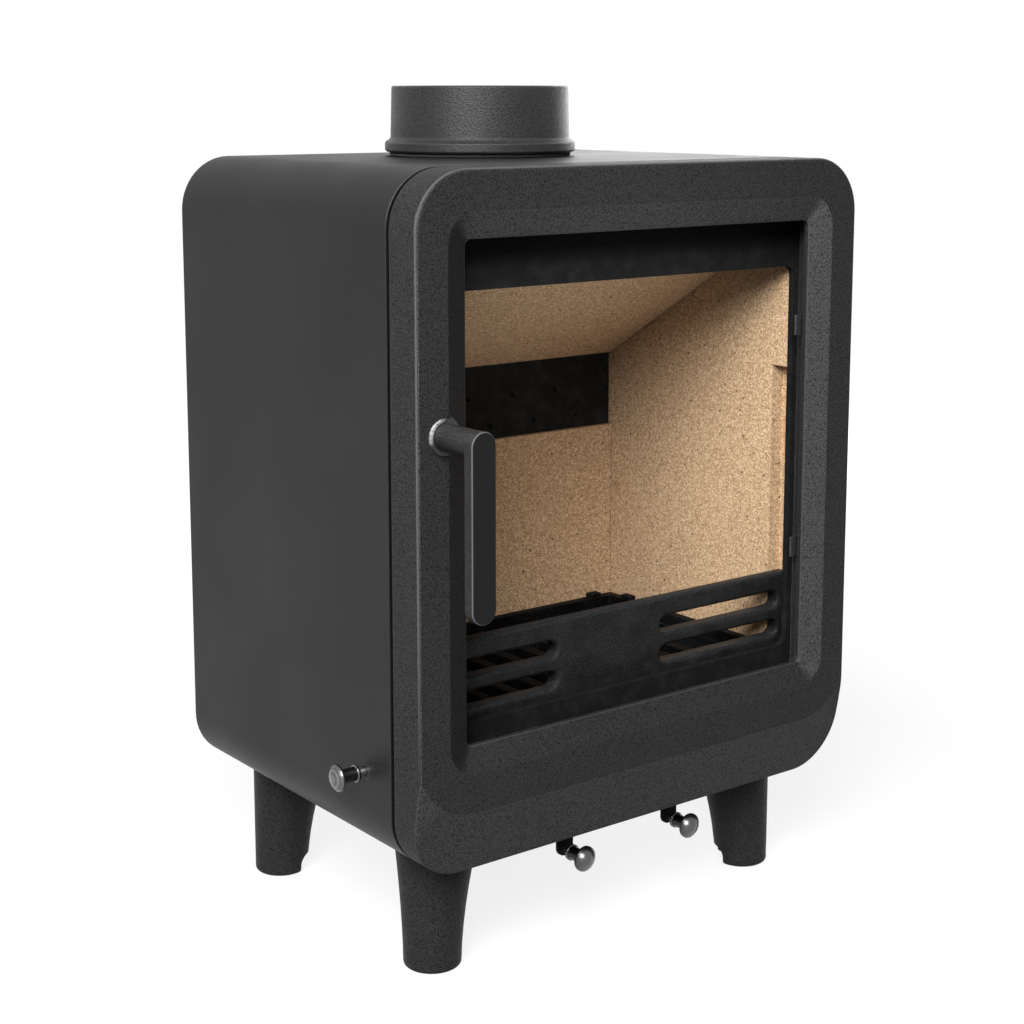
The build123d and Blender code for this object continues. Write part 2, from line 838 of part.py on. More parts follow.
def log_guard():
    outline = Pos(0, (brick_base + guard_top) / 2) * Rectangle(2 * guard_half_width, guard_top - brick_base)
    slot_length = guard_slot_outer - guard_slot_inner
    slot_x = (guard_slot_outer + guard_slot_inner) / 2
    for z in (guard_slot_lower, guard_slot_upper):
        for x in (-slot_x, slot_x):
            outline -= Pos(x, z) * SlotOverall(slot_length, guard_slot_height)
    guard = slab(outline, guard_front, guard_front + guard_thickness)
    top_edges = guard.edges().filter_by(Axis.X).group_by(Axis.Z)[-1]
    guard = fillet(top_edges, guard_edge_round)
    slot_edges = [wire.edges() for wire in guard.faces().sort_by(Axis.Y)[0].inner_wires()]
    return fillet([edge for edges in slot_edges for edge in edges], guard_slot_round)


def ash_pan():
    middle_y = (ash_pan_front + ash_pan_rear) / 2
    size_x, size_y = 2 * ash_pan_half_width, ash_pan_rear - ash_pan_front
    wall = 2 * ash_pan_wall
    corner = ash_door_corner
    outside = Pos(0, middle_y, ash_pan_base) * RectangleRounded(size_x, size_y, corner)
    inside = Pos(0, middle_y, ash_pan_base + ash_pan_wall) * RectangleRounded(
        size_x - wall, size_y - wall, corner - ash_pan_wall)
    pan = extrude(outside, amount=ash_pan_height) - extrude(inside, amount=ash_pan_height)
    top = ash_pan_base + ash_pan_height
    lip = block(-ash_pan_grip, ash_pan_grip, ash_pan_front - ash_pan_lip, ash_pan_front + ash_pan_wall,
                top - ash_pan_wall, top)
    return pan + lip


def ash_pan_runners():
    runners = []
    t = sheet_thickness
    web = ash_pan_half_width + ash_pan_side_gap
    for side in (-1, 1):
        points = ((web, inner_bottom), (web + t, inner_bottom), (web + t, ash_pan_base + runner_side),
                  (web, ash_pan_base + runner_side), (web, ash_pan_base), (web - runner_ledge, ash_pan_base),
                  (web - runner_ledge, ash_pan_base - t), (web, ash_pan_base - t))
        outline = make_face(Polyline(*[(side * x, z) for x, z in points], close=True))
        runners.append(slab(outline, plate_back, ash_pan_rear))
    return joined(runners)


# Turned knobs and the riddling set

def turned_knob(bore_radius, bore_depth):
    """A knob turned about local Z: collar at z = 0, neck, waist and a domed head that ends it."""
    head_back = knob_collar + knob_neck
    face = knob_length
    rim = face - knob_dome
    foot = Polyline((0, 0), (knob_collar_radius, 0), (knob_collar_radius, knob_collar),
                    (knob_neck_radius, knob_collar))
    waist_height = (knob_collar + head_back) / 2
    waist = ThreePointArc((knob_neck_radius, knob_collar), (knob_waist_radius, waist_height),
                          (knob_neck_radius, head_back))
    head = Polyline((knob_neck_radius, head_back), (knob_radius, head_back), (knob_radius, rim))
    dome = TangentArc((0, face), (knob_radius, rim), tangent=(1, 0))
    knob = turned([foot, waist, head, dome, Line((0, face), (0, 0))])
    circles = knob.edges().filter_by(GeomType.CIRCLE)
    rims = circles.filter_by(lambda edge: abs(edge.radius - knob_radius) < 0.01)
    return fillet(rims.sort_by(Axis.Z)[-1], knob_edge_round) - rod_z(0, 0, 0, bore_depth, bore_radius)


def riddle_knob():
    knob = turned_knob(riddle_rod_radius, riddle_rod_in_knob)
    return Pos(riddle_knob_x, riddle_y, riddle_height) * Rot(0, -90, 0) * knob


def riddle_rod():
    end = riddle_knob_x - riddle_rod_in_knob
    return rod_x(end, -riddle_rod_inner_end, riddle_y, riddle_height, riddle_rod_radius)


def riddle_bush():
    outer = rod_x(-half_width, -inner_half_width, riddle_y, riddle_height, riddle_bush_radius)
    return outer - rod_x(-half_width - 1, -inner_half_width + 1, riddle_y, riddle_height,
                         riddle_rod_radius + riddle_hole_gap)


def riddle_yoke():
    """A flat arm from the rod under the shelf to a peg that stands up under the riddling grate."""
    x_high = -riddle_rod_inner_end + riddle_yoke_width
    x_low = -riddle_rod_inner_end
    peg_rear = well_front_y + grate_ledge + 2 + riddle_peg_length
    z_low = riddle_height - riddle_yoke_thickness / 2
    z_high = riddle_height + riddle_yoke_thickness / 2
    arm = block(x_low, x_high, riddle_y - riddle_rod_radius, peg_rear, z_low, z_high)
    return arm + block(x_low, x_high, peg_rear - riddle_peg_length, peg_rear, z_low, riddle_plate_low)


def riddling_grate():
    """A slotted plate in the well of the frame; at rest it lies off the middle, towards the right."""
    half = grate_well_half_width - riddle_travel - riddle_side_gap
    front = well_front_y + riddle_side_gap
    rear = well_rear_y - riddle_side_gap
    plate = block(-half, half, front, rear, riddle_plate_low, riddle_bar_top)
    pitch = (2 * half - riddle_bar_width) / (riddle_bar_count - 1)
    for k in range(riddle_bar_count - 1):
        x = -half + riddle_bar_width + pitch * k
        slot_width = pitch - riddle_bar_width
        slot = Pos(x + slot_width / 2, (front + rear) / 2, riddle_plate_low - 1) * RectangleRounded(
            slot_width, rear - front - 2 * riddle_skirt, slot_width / 3)
        plate -= extrude(slot, amount=riddle_plate_thickness + 2)
    return Pos(riddle_rest_offset, 0, 0) * plate


# Door

def open_top_outline(x_half, z_low, radius):
    """A wide outline whose lower corners are round and whose top runs past the door."""
    return round_rect(x_half, z_low, body_top + 3 * radius, radius)


def facet_envelope():
    """What is left in front of the door once its lower front is cut back to a sloping facet."""
    half = half_width + 1
    front = front_plane(door_front) * open_top_outline(half, facet_edge_height, facet_edge_radius)
    wide = open_top_outline(half + facet_spread, facet_edge_height - facet_spread,
                            facet_edge_radius + facet_spread)
    back_y = door_front + facet_depth
    sloped = loft([front, front_plane(back_y) * wide], ruled=True)
    return sloped + slab(wide, back_y, door_back)


def door_casting():
    casting = body_prism(door_front, door_back) & facet_envelope()
    front_face = casting.faces().sort_by(Axis.Y)[0]
    casting = fillet(front_face.edges(), door_edge_round)
    casting -= window_bevel()
    bevel_edges = casting.faces().sort_by(Axis.Y)[0].inner_wires()[0].edges()
    casting = fillet(bevel_edges, bevel_edge_round)
    casting += rod_y(handle_x, door_front, door_front + door_skin, handle_height, handle_boss_radius)
    casting -= slab(round_rect(window_half_width, window_bottom, window_top, window_corner),
                    door_front + bevel_depth - 0.5, door_back + 1)
    for margin, depth in ((seat_width, seat_depth), (seat_width + land_width, land_depth)):
        casting -= slab(window_ring(margin), door_front + depth, door_back + 1)
    groove = seal_loop(rope_groove_width) - seal_loop(0)
    casting -= slab(groove, door_front + rope_groove_floor, door_back + 1)
    casting -= slab(seal_loop(rope_groove_width + rope_groove_wall), door_front + rope_wall_depth,
                    door_back + 1)
    casting -= hollow_ring()
    casting -= lower_recess()
    casting -= latch_pocket()
    casting -= rod_y(handle_x, door_front - 1, door_back, handle_height, bush_radius)
    for x, z in clip_places():
        casting -= rod_y(x * clip_screw_x, door_front + clip_screw_tip, door_back, z, clip_screw_radius)
    return casting - door_hinge_screws()


def window_ring(margin):
    return round_rect(window_half_width + margin, window_bottom - margin, window_top + margin,
                      window_corner + margin / 2)


def window_bevel():
    outer = round_rect(window_half_width + bevel_side, window_bottom - bevel_side, window_top + bevel_side,
                       bevel_corner)
    inner = round_rect(window_half_width, window_bottom, window_top, window_corner)
    return loft([front_plane(door_front) * outer, front_plane(door_front + bevel_depth) * inner], ruled=True)


def seal_loop(margin):
    """The inner edge of the rope groove, grown by a margin: it runs round the glass and the ash opening."""
    return round_rect(groove_inner + margin, seal_bottom - margin, seal_top + margin, seal_corner + margin)


def hollow_ring():
    """The back of the casting is hollow outside the rope groove, with cross ribs."""
    outer = inside_outline()
    solid = seal_loop(rope_groove_width + rope_groove_wall)
    ring = slab(outer - solid, door_front + door_skin, door_back + 1)
    below = block(-half_width, half_width, door_front, door_back + 2, 0, hollow_bottom)
    ring -= below
    step = (body_top - hollow_bottom) / (rib_count + 1)
    for k in range(1, rib_count + 1):
        z = hollow_bottom + k * step
        ring -= block(-half_width, half_width, door_front, door_back - door_rim, z - rib_thickness / 2,
                      z + rib_thickness / 2)
    return ring


def lower_recess():
    """A shallow recess behind the door's lower part, in front of the ash opening, with upright ribs."""
    top = window_bottom - seat_width - land_width - door_rim
    half = land_half_width - door_rim
    recess = slab(round_rect(half, seal_bottom + door_rim, top, ash_door_corner),
                  door_front + rope_groove_floor - rope_groove_wall, door_back + 1)
    step = 2 * half / (rib_count + 1)
    for k in range(1, rib_count + 1):
        x = -half + k * step
        recess -= block(x - rib_thickness / 2, x + rib_thickness / 2, door_front, door_back - door_rim, 0,
                        top + 1)
    return recess


def latch_pocket():
    """Room for the cam and its nut behind the door's skin, open to the hollow ring."""
    low, high = handle_height - cam_sweep, handle_height + cam_sweep
    floor = door_front + door_skin
    cam_room = block(-inner_half_width, handle_x + cam_open_reach, floor, cam_back + latch_nut_gap,
                     low, high)
    nut_room = block(-inner_half_width, handle_x + latch_nut_radius + latch_nut_gap, floor,
                     latch_nut_back + latch_nut_gap, low, high)
    open_part = block(-inner_half_width, -groove_outer, floor, door_back + 1, low, high)
    return cam_room + nut_room + open_part


def glass_pane():
    outline = window_ring(seat_width - glass_edge_gap)
    return slab(outline, glass_front, glass_front + glass_thickness)


def glass_gasket():
    outline = window_ring(seat_width - glass_edge_gap / 2) - window_ring(glass_edge_gap)
    return slab(outline, door_front + seat_depth, glass_front)


def clip_places():
    heights = (window_top - clip_drop_upper, window_bottom + clip_rise_lower)
    return [(side, z) for side in (-1, 1) for z in heights]


def glass_clip(side, z):
    """A bent strip: its foot is screwed to the casting and its tip presses on the back of the glass."""
    t = clip_thickness
    back = glass_front + glass_thickness
    land = door_front + land_depth
    tip, foot = window_half_width - clip_reach, land_half_width - 0.5
    bend = window_half_width + seat_width
    points = ((tip, back), (bend - 3, back), (bend - 0.5, land), (foot, land), (foot, land + t),
              (bend - 1, land + t), (bend - 3.5, back + t), (tip, back + t))
    outline = make_face(Polyline(*[(side * x, y) for x, y in points], close=True))
    clip = extrude(Pos(0, 0, z - clip_width / 2) * outline, amount=clip_width, dir=(0, 0, 1))
    return clip - rod_y(side * clip_screw_x, door_front, door_back, z, clip_screw_radius)


def glass_clips():
    return joined(glass_clip(side, z) for side, z in clip_places())


def glass_clip_screws():
    screws = []
    head = door_front + land_depth + clip_thickness
    for side, z in clip_places():
        screw = rod_y(side * clip_screw_x, door_front + clip_screw_tip, head, z, clip_screw_radius)
        dome = rod_y(side * clip_screw_x, head, head + clip_screw_head, z, clip_screw_head_radius)
        dome = fillet(dome.edges().sort_by(Axis.Y)[-1], clip_screw_head / 2)
        screws.append(screw + dome)
    return joined(screws)


def door_rope_seal():
    rope = slab(seal_loop(rope_groove_width) - seal_loop(0), door_front + rope_groove_floor,
                body_front - seal_squash_gap)
    outer_rims = rope.faces().sort_by(Axis.Y)[-1].edges()
    return fillet(outer_rims, rope_groove_width / 3)


# Hinges

def knuckle(z_low, leaf_end, bore):
    """A barrel on the hinge line with a flat leaf against the side of the stove."""
    z_high = z_low + hinge_knuckle_height
    barrel = rod_z(hinge_x, hinge_y, z_low, z_high, hinge_barrel_radius)
    y_low, y_high = sorted((hinge_y, leaf_end))
    leaf = block(half_width, half_width + hinge_leaf_thickness, y_low, y_high, z_low, z_high)
    fork = barrel + leaf
    for z in hinge_screw_heights(z_low):
        fork -= hinge_screw(leaf_end, z)
    return fork - rod_z(hinge_x, hinge_y, z_low - 1, z_high + 1, bore)


def hinge_screw_heights(z_low):
    return (z_low + hinge_knuckle_height / 4, z_low + 3 * hinge_knuckle_height / 4)


def hinge_screw(leaf_end, z):
    """A countersunk screw through a leaf, its head flush with the leaf."""
    y = leaf_end + hinge_screw_inset * (1 if leaf_end < hinge_y else -1)
    outer = half_width + hinge_leaf_thickness
    shank = rod_x(half_width - hinge_screw_grip, outer, y, z, hinge_screw_radius)
    cone = Pos(outer - hinge_screw_radius / 2, y, z) * Rot(0, 90, 0) * Cone(
        hinge_screw_radius, 2 * hinge_screw_radius, hinge_screw_radius)
    return shank + cone


def body_knuckles():
    return joined(knuckle(z - hinge_knuckle_gap / 2 - hinge_knuckle_height, body_leaf_end, hinge_pin_radius)
                  for z in hinge_heights)


def door_knuckles():
    return joined(knuckle(z + hinge_knuckle_gap / 2, door_leaf_end, hinge_pin_radius + hinge_fit)
                  for z in hinge_heights)


def hinge_pins():
    pins = []
    for z in hinge_heights:
        low = z - hinge_knuckle_gap / 2 - hinge_knuckle_height
        pin = rod_z(hinge_x, hinge_y, low, z + hinge_knuckle_height - 1, hinge_pin_radius)
        pins.append(chamfer(pin.edges().sort_by(Axis.Z)[-1], 1))
    return joined(pins)


def body_hinge_screws():
    return joined(hinge_screw(body_leaf_end, h) for z in hinge_heights
                  for h in hinge_screw_heights(z - hinge_knuckle_gap / 2 - hinge_knuckle_height))


def door_hinge_screws():
    return joined(hinge_screw(door_leaf_end, h) for z in hinge_heights
                  for h in hinge_screw_heights(z + hinge_knuckle_gap / 2))


# Handle and latch

def door_handle():
    """A round arm that turns in the door and a flat bar with round ends that hangs from it."""
    bar_back = door_front - handle_reach + handle_bar_thickness
    end = handle_bar_width / 2
    bar_outline = Pos(handle_x, handle_height - handle_bar_drop / 2) * Rot(0, 0, 90) * SlotOverall(
        handle_bar_drop + 2 * end, handle_bar_width)
    bar = slab(bar_outline, door_front - handle_reach, bar_back)
    front_edges = bar.faces().sort_by(Axis.Y)[0].edges()
    bar = fillet(front_edges, handle_edge_round)
    arm = rod_y(handle_x, bar_back - 1, handle_arm_end, handle_height, handle_arm_radius)
    socket_end = handle_arm_end - handle_socket
    socket = rod_y(handle_x, socket_end, handle_arm_end + 1, handle_height, spindle_radius)
    return bar + arm - socket


def handle_washer():
    washer = rod_y(handle_x, handle_arm_end, door_front - handle_running_gap, handle_height, washer_radius)
    return washer - rod_y(handle_x, door_front - handle_reach, door_front, handle_height, spindle_radius)


def handle_spindle():
    return rod_y(handle_x, handle_arm_end - handle_socket, latch_nut_back, handle_height, spindle_radius)


def handle_bush():
    sleeve = rod_y(handle_x, door_front, cam_front - handle_running_gap, handle_height, bush_radius)
    flange_low = door_front + door_skin
    sleeve += rod_y(handle_x, flange_low, flange_low + bush_flange_thickness, handle_height,
                    bush_radius + bush_flange)
    return sleeve - rod_y(handle_x, door_front - 1, cam_front, handle_height, spindle_radius + spindle_fit)


def latch_cam():
    hub = Circle(cam_hub_radius) + Pos(0, -(cam_radius - cam_width / 2) / 2) * Rectangle(
        cam_width, cam_radius - cam_width / 2)
    hub += Pos(0, -(cam_radius - cam_width / 2)) * Circle(cam_width / 2)
    cam = slab(Pos(handle_x, handle_height) * hub, cam_front, cam_back)
    return cam - rod_y(handle_x, cam_front - 1, door_back, handle_height, spindle_radius)


def spindle_nut():
    nut = hex_y(handle_x, cam_back, latch_nut_back, handle_height, latch_nut_radius)
    return nut - rod_y(handle_x, cam_front, door_back, handle_height, spindle_radius)


def latch_keep():
    """A folded hook on the front plate: foot, web and a lip that the cam turns in behind."""
    left = -inner_half_width + keep_wall_gap
    top = handle_height - cam_hub_radius - keep_side_gap
    low = top - keep_height
    middle = (top + low) / 2
    foot_low, foot_high = middle - keep_foot_height / 2, middle + keep_foot_height / 2
    foot = block(left, left + keep_foot_width, body_front - keep_thickness, body_front, foot_low, foot_high)
    for z in keep_screw_heights():
        foot -= rod_y(keep_screw_x, body_front - keep_thickness - 1, body_front + 1, z, keep_screw_radius)
    web = block(left, left + keep_thickness, keep_lip_front, body_front - keep_thickness, low, top)
    lip = block(left, keep_tip, keep_lip_front, keep_lip_front + keep_lip, low, top)
    return foot + web + lip


def keep_screw_heights():
    middle = handle_height - cam_hub_radius - keep_side_gap - keep_height / 2
    reach = keep_foot_height / 2 - keep_screw_inset
    return (middle - reach, middle + reach)


def keep_screws():
    return joined(rod_y(keep_screw_x, body_front - keep_thickness, plate_back, z, keep_screw_radius)
                  for z in keep_screw_heights())


# Air slides

def air_slide(x):
    """A flat strip under the casing floor with an air port, turned down at the front as a tab."""
    low = air_slide_top - air_slide_thickness
    half = air_slide_width / 2
    strip = block(x - half, x + half, air_slide_y, air_slide_y + air_slide_length, low, air_slide_top)
    strip -= air_port(x, air_port_y + air_slide_travel, low - 1, air_slide_top + 1)
    tab_low = air_knob_height - tab_below_stud
    tab_outline = Pos(x, (tab_low + air_slide_top) / 2) * Rectangle(air_slide_width, air_slide_top - tab_low)
    lower = tab_outline.vertices().group_by(Axis.Y)[0]
    tab = slab(fillet(lower, tab_corner), air_slide_y, air_slide_y + air_slide_thickness)
    return strip + tab - rod_y(x, air_slide_y - 1, air_slide_y + air_slide_thickness + 1, air_knob_height,
                               air_stud_radius)


def air_stud(x):
    rear = air_slide_y + air_slide_thickness + air_nut_height
    stud = rod_y(x, air_knob_y - air_stud_in_knob, rear, air_knob_height, air_stud_radius)
    return stud + hex_y(x, rear - air_nut_height, rear, air_knob_height, air_nut_radius)


def air_knob(x):
    knob = turned_knob(air_stud_radius, air_stud_in_knob)
    return Pos(x, air_knob_y, air_knob_height) * Rot(90, 0, 0) * knob


def slide_guides():
    """Two folded rails under the floor carry each strip by its edges."""
    rails = []
    t = guide_thickness
    web = air_slide_width / 2 + air_slide_gap
    low = air_slide_top - air_slide_thickness - air_slide_gap
    points = ((web, body_bottom), (web + t, body_bottom), (web + t, low - t), (web - guide_ledge, low - t),
              (web - guide_ledge, low), (web, low))
    start = air_slide_y + guide_start
    for x in air_slide_places:
        for side in (-1, 1):
            outline = make_face(Polyline(*[(x + side * px, pz) for px, pz in points], close=True))
            rails.append(slab(outline, start, start + guide_length))
    return joined(rails)


left_slide_x, right_slide_x = air_slide_places

nodes = {
    "outer_casing": outer_casing(),
    "front_plate": front_plate(),
    "rear_panel": rear_panel(),
    "rear_blanking_plate": rear_blanking_plate(),
    "rear_blanking_bolts": rear_blanking_bolts(),
    "flue_collar": flue_collar(),
    "collar_seal": collar_seal(),
    "collar_bolts": collar_bolts(),
    "leg_bolts": joined(at_legs(leg_bolt).values()),
    "levelling_feet": joined(at_legs(levelling_foot).values()),
    "side_brick_left": side_brick(-1),
    "side_brick_right": side_brick(1),
    "rear_brick": rear_brick(),
    "baffle_plate": baffle_plate(),
    "baffle_hanger": baffle_hanger(),
    "rear_air_duct": rear_air_duct(),
    "airwash_channel": airwash_channel(),
    "airwash_ducts": airwash_ducts(),
    "air_box": air_box(),
    "grate_shelf": grate_shelf(),
    "grate_frame": grate_frame(),
    "log_guard": log_guard(),
    "ash_pan": ash_pan(),
    "ash_pan_runners": ash_pan_runners(),
    "slide_guides": slide_guides(),
    "body_hinge_knuckles": body_knuckles(),
    "body_hinge_screws": body_hinge_screws(),
    "hinge_pins": hinge_pins(),
    "latch_keep": latch_keep(),
    "keep_screws": keep_screws(),
    "riddle_bush": riddle_bush(),
    "door_casting": door_casting(),
    "glass_pane": glass_pane(),
    "glass_gasket": glass_gasket(),
    "glass_clips": glass_clips(),
    "glass_clip_screws": glass_clip_screws(),
    "door_rope_seal": door_rope_seal(),
    "door_hinge_knuckles": door_knuckles(),
    "door_hinge_screws": door_hinge_screws(),
    "handle_bush": handle_bush(),
    "door_handle": door_handle(),
    "handle_washer": handle_washer(),
    "handle_spindle": handle_spindle(),
    "latch_cam": latch_cam(),
    "spindle_nut": spindle_nut(),
    "primary_slide": air_slide(left_slide_x),
    "primary_stud": air_stud(left_slide_x),
    "primary_knob": air_knob(left_slide_x),
    "secondary_slide": air_slide(right_slide_x),
    "secondary_stud": air_stud(right_slide_x),
    "secondary_knob": air_knob(right_slide_x),
    "riddle_rod": riddle_rod(),
    "riddle_knob": riddle_knob(),
    "riddle_yoke": riddle_yoke(),
    "riddling_grate": riddling_grate(),
}
nodes.update(legs())

os.makedirs("parts", exist_ok=True)
for name, shape in nodes.items():
    export_step(shape, f"parts/{name}.step")
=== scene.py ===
from math import ceil, cos, pi, radians, sin

import bmesh
import bpy
from mathutils import Matrix, Vector


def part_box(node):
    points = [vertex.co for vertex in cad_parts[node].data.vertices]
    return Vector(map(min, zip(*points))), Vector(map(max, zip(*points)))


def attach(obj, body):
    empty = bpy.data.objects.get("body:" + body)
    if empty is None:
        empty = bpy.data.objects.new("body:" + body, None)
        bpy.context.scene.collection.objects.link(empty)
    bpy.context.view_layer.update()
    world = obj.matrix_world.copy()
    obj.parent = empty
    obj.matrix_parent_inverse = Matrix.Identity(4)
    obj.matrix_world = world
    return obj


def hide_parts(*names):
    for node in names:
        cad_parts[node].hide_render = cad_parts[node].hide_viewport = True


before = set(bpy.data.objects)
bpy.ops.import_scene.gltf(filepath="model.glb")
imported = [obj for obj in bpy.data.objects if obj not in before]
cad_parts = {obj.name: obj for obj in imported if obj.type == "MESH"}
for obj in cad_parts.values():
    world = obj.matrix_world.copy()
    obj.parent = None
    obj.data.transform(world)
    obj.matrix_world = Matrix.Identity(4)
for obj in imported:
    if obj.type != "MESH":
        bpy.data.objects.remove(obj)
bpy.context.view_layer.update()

bl_info = {
    "name": "Multi-fuel stove finishes",
    "version": (1, 0, 0),
    "blender": (4, 5, 0),
    "location": "3D View > Sidebar > Stove",
    "description": "Finishes, rope seals and studio stage for a small free-standing multi-fuel stove",
    "category": "Object",
}

# Nodes by finish
CASING_NODES = ("outer_casing", "rear_panel", "rear_blanking_plate")
BUSH_NODES = ("riddle_bush",)
DOOR_NODES = ("door_casting",)
COLLAR_NODES = ("flue_collar",)
LEG_NODES = ("leg_front_left", "leg_front_right", "leg_rear_left", "leg_rear_right")
HANDLE_NODES = ("door_handle",)
HINGE_NODES = ("body_hinge_knuckles", "door_hinge_knuckles")
GUARD_NODES = ("log_guard",)
GRATE_NODES = ("grate_frame", "riddling_grate")
FRONT_NODES = ("front_plate",)
DUCT_NODES = ("rear_air_duct",)
INNER_NODES = ("airwash_channel", "airwash_ducts", "air_box", "grate_shelf", "baffle_hanger", "riddle_yoke",
               "ash_pan", "ash_pan_runners")
SLIDE_NODES = ("primary_slide", "secondary_slide", "slide_guides")
BRICK_NODES = ("side_brick_left", "side_brick_right", "rear_brick", "baffle_plate")
SIDE_KNOB_NODES = ("riddle_knob",)
AIR_KNOB_NODES = ("primary_knob", "secondary_knob")
BRIGHT_NODES = ("riddle_rod", "primary_stud", "secondary_stud")
WASHER_NODES = ("handle_washer",)
CLIP_NODES = ("glass_clips",)
ZINC_NODES = ("levelling_feet", "leg_bolts", "collar_bolts", "rear_blanking_bolts", "hinge_pins",
              "latch_keep", "keep_screws", "handle_bush", "handle_spindle", "latch_cam", "spindle_nut")
SCREW_NODES = ("glass_clip_screws", "body_hinge_screws", "door_hinge_screws")
GLASS_NODES = ("glass_pane",)

# Ways that a surface or an axis can point
X_AXIS, Y_AXIS = 0, 1
LEFT, RIGHT = (-1.0, 0.0, 0.0), (1.0, 0.0, 0.0)
FRONT, BACK = (0.0, -1.0, 0.0), (0.0, 1.0, 0.0)
DOWN, UP = (0.0, 0.0, -1.0), (0.0, 0.0, 1.0)
MOSTLY_UP, UP_LEFT = (-0.35, 0.0, 0.94), (-0.6, 0.0, 0.8)

# The part of its range that a pattern mostly fills: a soft one, a crisp one and a casting's skin
SOFT, CRISP, SKIN = (0.3, 0.7), (0.35, 0.65), (-0.05, 0.42)
BEVEL_SAMPLES = 6

# The painted light and shade on each of the door's slopes against its front, by the way the slope faces,
# then the heights between which the door's rounded rim gets a painted highlight and the front plate a painted
# shadow, and the ash on level tops, which also paints them lighter and cooler as light falls on them
SLOPE_PAINTED_LIGHT = ((RIGHT, 0.3), (LEFT, 2.3), (DOWN, 1.7))
RIM_HIGHLIGHT_HEIGHTS = (0.15, 0.26)
PAINTED_SHADOW_HEIGHTS = (0.488, 0.5)
GUARD_ASH_AND_TOP_LIGHT = (0.034, 0.037, 0.042)
GRATE_ASH_AND_TOP_LIGHT = (0.007, 0.0095, 0.013)

# What the glass lets through, its index of refraction and the share of its mirror image that is kept
GLASS_TINT = (0.985, 0.99, 0.985)
GLASS_INDEX = 1.45
GLASS_MIRROR = 0.1

# The ropes: points round and along each strand, how far out the valleys between strands lie, the tape's
# steps and the gap that closing a ring joins over
ROUND_STRAND = 4
ALONG_STRAND = 4
VALLEY = 0.74
TAPE_STEP = 0.004
JOIN_GAP = 0.00002

# Each lamp's kind, place, target and other settings
LAMPS = {
    "main_lamp": ("AREA", (-1.51, -1.263, 1.68), (0.0, 0.0, 0.3), {"size": 1.3}),
    "fill_lamp": ("AREA", (1.7, 1.1, 0.75), (0.0, 0.0, 0.3), {"size": 1.4}),
    "firebox_lamp": ("SPOT", (-0.35, -1.25, 0.12), (0.03, 0.05, 0.49),
                     {"spot_size": radians(12.5), "spot_blend": 0.6, "shadow_soft_size": 0.08}),
}

# The floor's half width, its squares along a side and the share of its shadow's reach that stays darkest
FLOOR_SIZE = 12.0
FLOOR_CELLS = 8
SHADOW_CORE = 0.45


def colour(name, description, default):
    return bpy.props.FloatVectorProperty(name=name, description=description, default=default, size=3,
                                         min=0.0, max=1.0, subtype="COLOR")


def length(name, description, default):
    return bpy.props.FloatProperty(name=name, description=description, default=default, min=0.0,
                                   subtype="DISTANCE", unit="LENGTH")


def share(name, description, default):
    return bpy.props.FloatProperty(name=name, description=description, default=default, min=0.0, max=1.0,
                                   subtype="FACTOR")


class StoveFinishes(bpy.types.PropertyGroup):
    """Colours and grain of the stove's surfaces."""
    casing_colour: colour("Casing", "Stove paint on the folded casing", (0.0042, 0.0042, 0.0043))
    casting_colour: colour("Castings", "Stove paint on the door, collar and legs", (0.0218, 0.0218, 0.0221))
    grate_colour: colour("Grate iron", "Bare iron of the grate and log guard", (0.0250, 0.0250, 0.0254))
    inner_colour: colour("Inner plates", "Heat-proof black on the inner plates", (0.0085, 0.0085, 0.0087))
    brick_colour: colour("Firebrick", "Main colour of the vermiculite board", (0.63, 0.395, 0.224))
    brick_dark: colour("Dark flakes", "Darkest flakes in the vermiculite board", (0.085, 0.04, 0.017))
    brick_light: colour("Light flakes", "Lightest flakes in the vermiculite board", (0.94, 0.71, 0.48))
    nickel_colour: colour("Knobs", "Dark nickel of the turned knobs", (0.11, 0.11, 0.112))
    steel_colour: colour("Bright steel", "Bright rods, studs and washer", (0.66, 0.66, 0.67))
    zinc_colour: colour("Zinc plate", "Zinc plated fasteners and latch", (0.50, 0.50, 0.52))
    rope_colour: colour("Rope", "Knitted glass rope, dyed black", (0.035, 0.035, 0.036))
    casting_grain: length("Casting grain", "Height of the sand-cast grain", 0.0005)
    paint_grain: length("Paint grain", "Height of the grain of the sprayed paint", 0.00006)
    flake_size: length("Flake size", "Size of the flakes in the vermiculite board", 0.00105)


class StoveRopes(bpy.types.PropertyGroup):
    """Sizes of the soft seals."""
    collar_strand: length("Collar strand", "Distance between strands on the collar rope", 0.0032)
    collar_width: length("Collar rope width", "Width of the squashed rope under the collar", 0.0068)
    door_strand: length("Door strand", "Distance between strands on the door rope", 0.0045)
    door_width: length("Door rope width", "Width of the rope in the door's groove", 0.007)
    door_corner: length("Door rope corner", "Radius of the rope's middle line at the corners", 0.0175)
    tape_width: length("Tape width", "Width of the tape between the glass and the door", 0.004)
    tape_corner: length("Tape corner", "Radius of the tape's middle line at the corners", 0.007)


